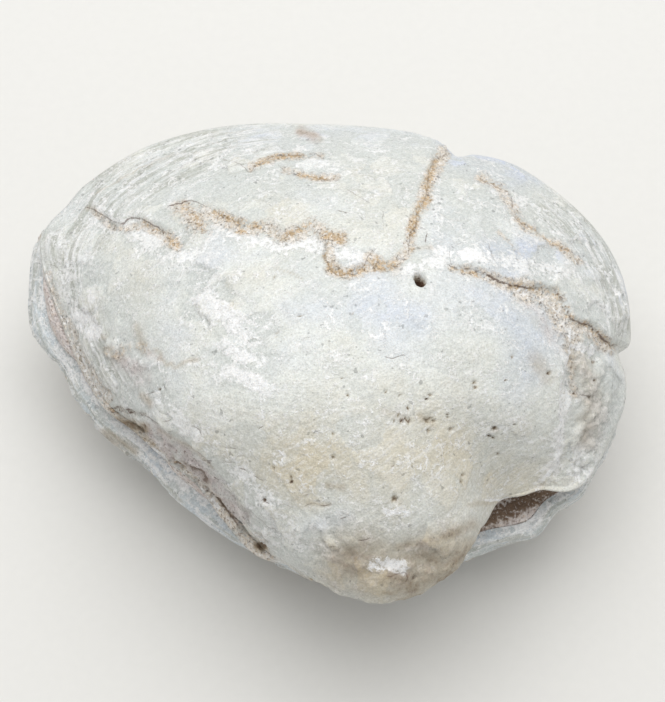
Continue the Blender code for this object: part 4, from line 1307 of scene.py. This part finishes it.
def floor_material():
    """Painted board: pale and matt, so it throws soft light back. The real tooth of the paint is
    too fine to show, so it is drawn several times coarser and very faint."""
    material, tree, shader, place = start_material("Pale matt painted board")
    tooth = speckle(tree, place, 1.5 * MM, 0.3, 0.7, 2.0)
    colour = shade_by(tree, bpy.context.scene.clam_studio.floor, tooth, 0.985, 1.0)
    tree.links.new(colour, shader.inputs["Base Color"])
    shader.inputs["Roughness"].default_value = 0.8
    return material


def aim_at(item, target):
    """Turn a camera or light so that it looks at a point."""
    item.rotation_euler = (Vector(target) - item.location).to_track_quat("-Z", "Y").to_euler()


class CLAM_OT_upper_valve(Operator):
    """Add the cracked upper valve in place of its plain solid."""

    bl_idname = "clam.upper_valve"
    bl_label = "Upper Valve"

    def execute(self, context):
        opal = context.scene.clam_opal
        material = opal_material("Common opal, worn satin, grey-green", opal.pale,
                                 opal.blue, opal.warm)
        piece = make_upper_valve(material)
        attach(piece, "root")
        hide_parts("upper_valve")
        return {"FINISHED"}


class CLAM_OT_lower_valve(Operator):
    """Add the lower valve with its growth lines in place of its plain solid."""

    bl_idname = "clam.lower_valve"
    bl_label = "Lower Valve"

    def execute(self, context):
        opal = context.scene.clam_opal
        material = opal_material("Common opal, worn satin, bluish", opal.lower,
                                 opal.blue, opal.pale)
        piece = make_lower_valve(material)
        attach(piece, "root")
        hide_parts("lower_valve")
        return {"FINISHED"}


class CLAM_OT_grit(Operator):
    """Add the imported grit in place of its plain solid."""

    bl_idname = "clam.grit"
    bl_label = "Packed Grit"

    def execute(self, context):
        piece = make_grit(grit_material())
        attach(piece, "root")
        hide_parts("grit_seam")
        return {"FINISHED"}


class CLAM_OT_stage(Operator):
    """Add the pale floor, the soft light, the even sky and the camera."""

    bl_idname = "clam.stage"
    bl_label = "Studio"

    def execute(self, context):
        studio = context.scene.clam_studio
        scene = context.scene
        bpy.ops.mesh.primitive_plane_add(size=studio.floor_size)
        floor = context.object
        floor.name = "floor"
        floor.data.materials.append(floor_material())

        key = bpy.data.lights.new("key", "AREA")
        key.energy = studio.key_power
        key.size = studio.key_size
        lamp = bpy.data.objects.new("key", key)
        lamp.location = KEY_PLACE
        aim_at(lamp, KEY_AIM)
        scene.collection.objects.link(lamp)

        world = bpy.data.worlds.new("studio")
        world.use_nodes = True
        sky = world.node_tree.nodes["Background"]
        sky.inputs["Color"].default_value = (1.0, 1.0, 1.0, 1.0)
        sky.inputs["Strength"].default_value = studio.sky
        scene.world = world

        lens = bpy.data.cameras.new("camera")
        lens.sensor_fit = "AUTO"
        lens.sensor_width = 36.0
        lens.lens = LENS
        lens.clip_start = 0.005
        camera = bpy.data.objects.new("camera", lens)
        eye, target = (Vector(point) for point in lay_down([SIGHT, (0.0, 0.0, 0.0)]))
        camera.location = eye
        aim_at(camera, target)
        scene.collection.objects.link(camera)
        scene.camera = camera
        scene.view_settings.view_transform = "Standard"
        return {"FINISHED"}


class CLAM_PT_sidebar(Panel):
    """Lists the clam's pieces and their settings."""

    bl_label = "Fossil Clam"
    bl_space_type = "VIEW_3D"
    bl_region_type = "UI"
    bl_category = "Fossil Clam"

    def draw(self, context):
        for operator in OPERATORS:
            self.layout.operator(operator.bl_idname)
        for group in (context.scene.clam_opal, context.scene.clam_grit, context.scene.clam_studio):
            box = self.layout.box()
            for name in group.bl_rna.properties.keys():
                if name not in ("rna_type", "name"):
                    box.prop(group, name)


OPERATORS = (CLAM_OT_upper_valve, CLAM_OT_lower_valve, CLAM_OT_grit, CLAM_OT_stage)
GROUPS = {"clam_opal": OpalLook, "clam_grit": GritLook, "clam_studio": StudioLook}


def register():
    for item in (*GROUPS.values(), *OPERATORS, CLAM_PT_sidebar):
        bpy.utils.register_class(item)
    for name, group in GROUPS.items():
        setattr(bpy.types.Scene, name, PointerProperty(type=group))


def unregister():
    for name in GROUPS:
        delattr(bpy.types.Scene, name)
    for item in (CLAM_PT_sidebar, *reversed(OPERATORS), *GROUPS.values()):
        bpy.utils.unregister_class(item)


def main():
    register()
    bpy.ops.clam.upper_valve()
    bpy.ops.clam.lower_valve()
    bpy.ops.clam.grit()
    bpy.ops.clam.stage()


if __name__ == "__main__":
    main()
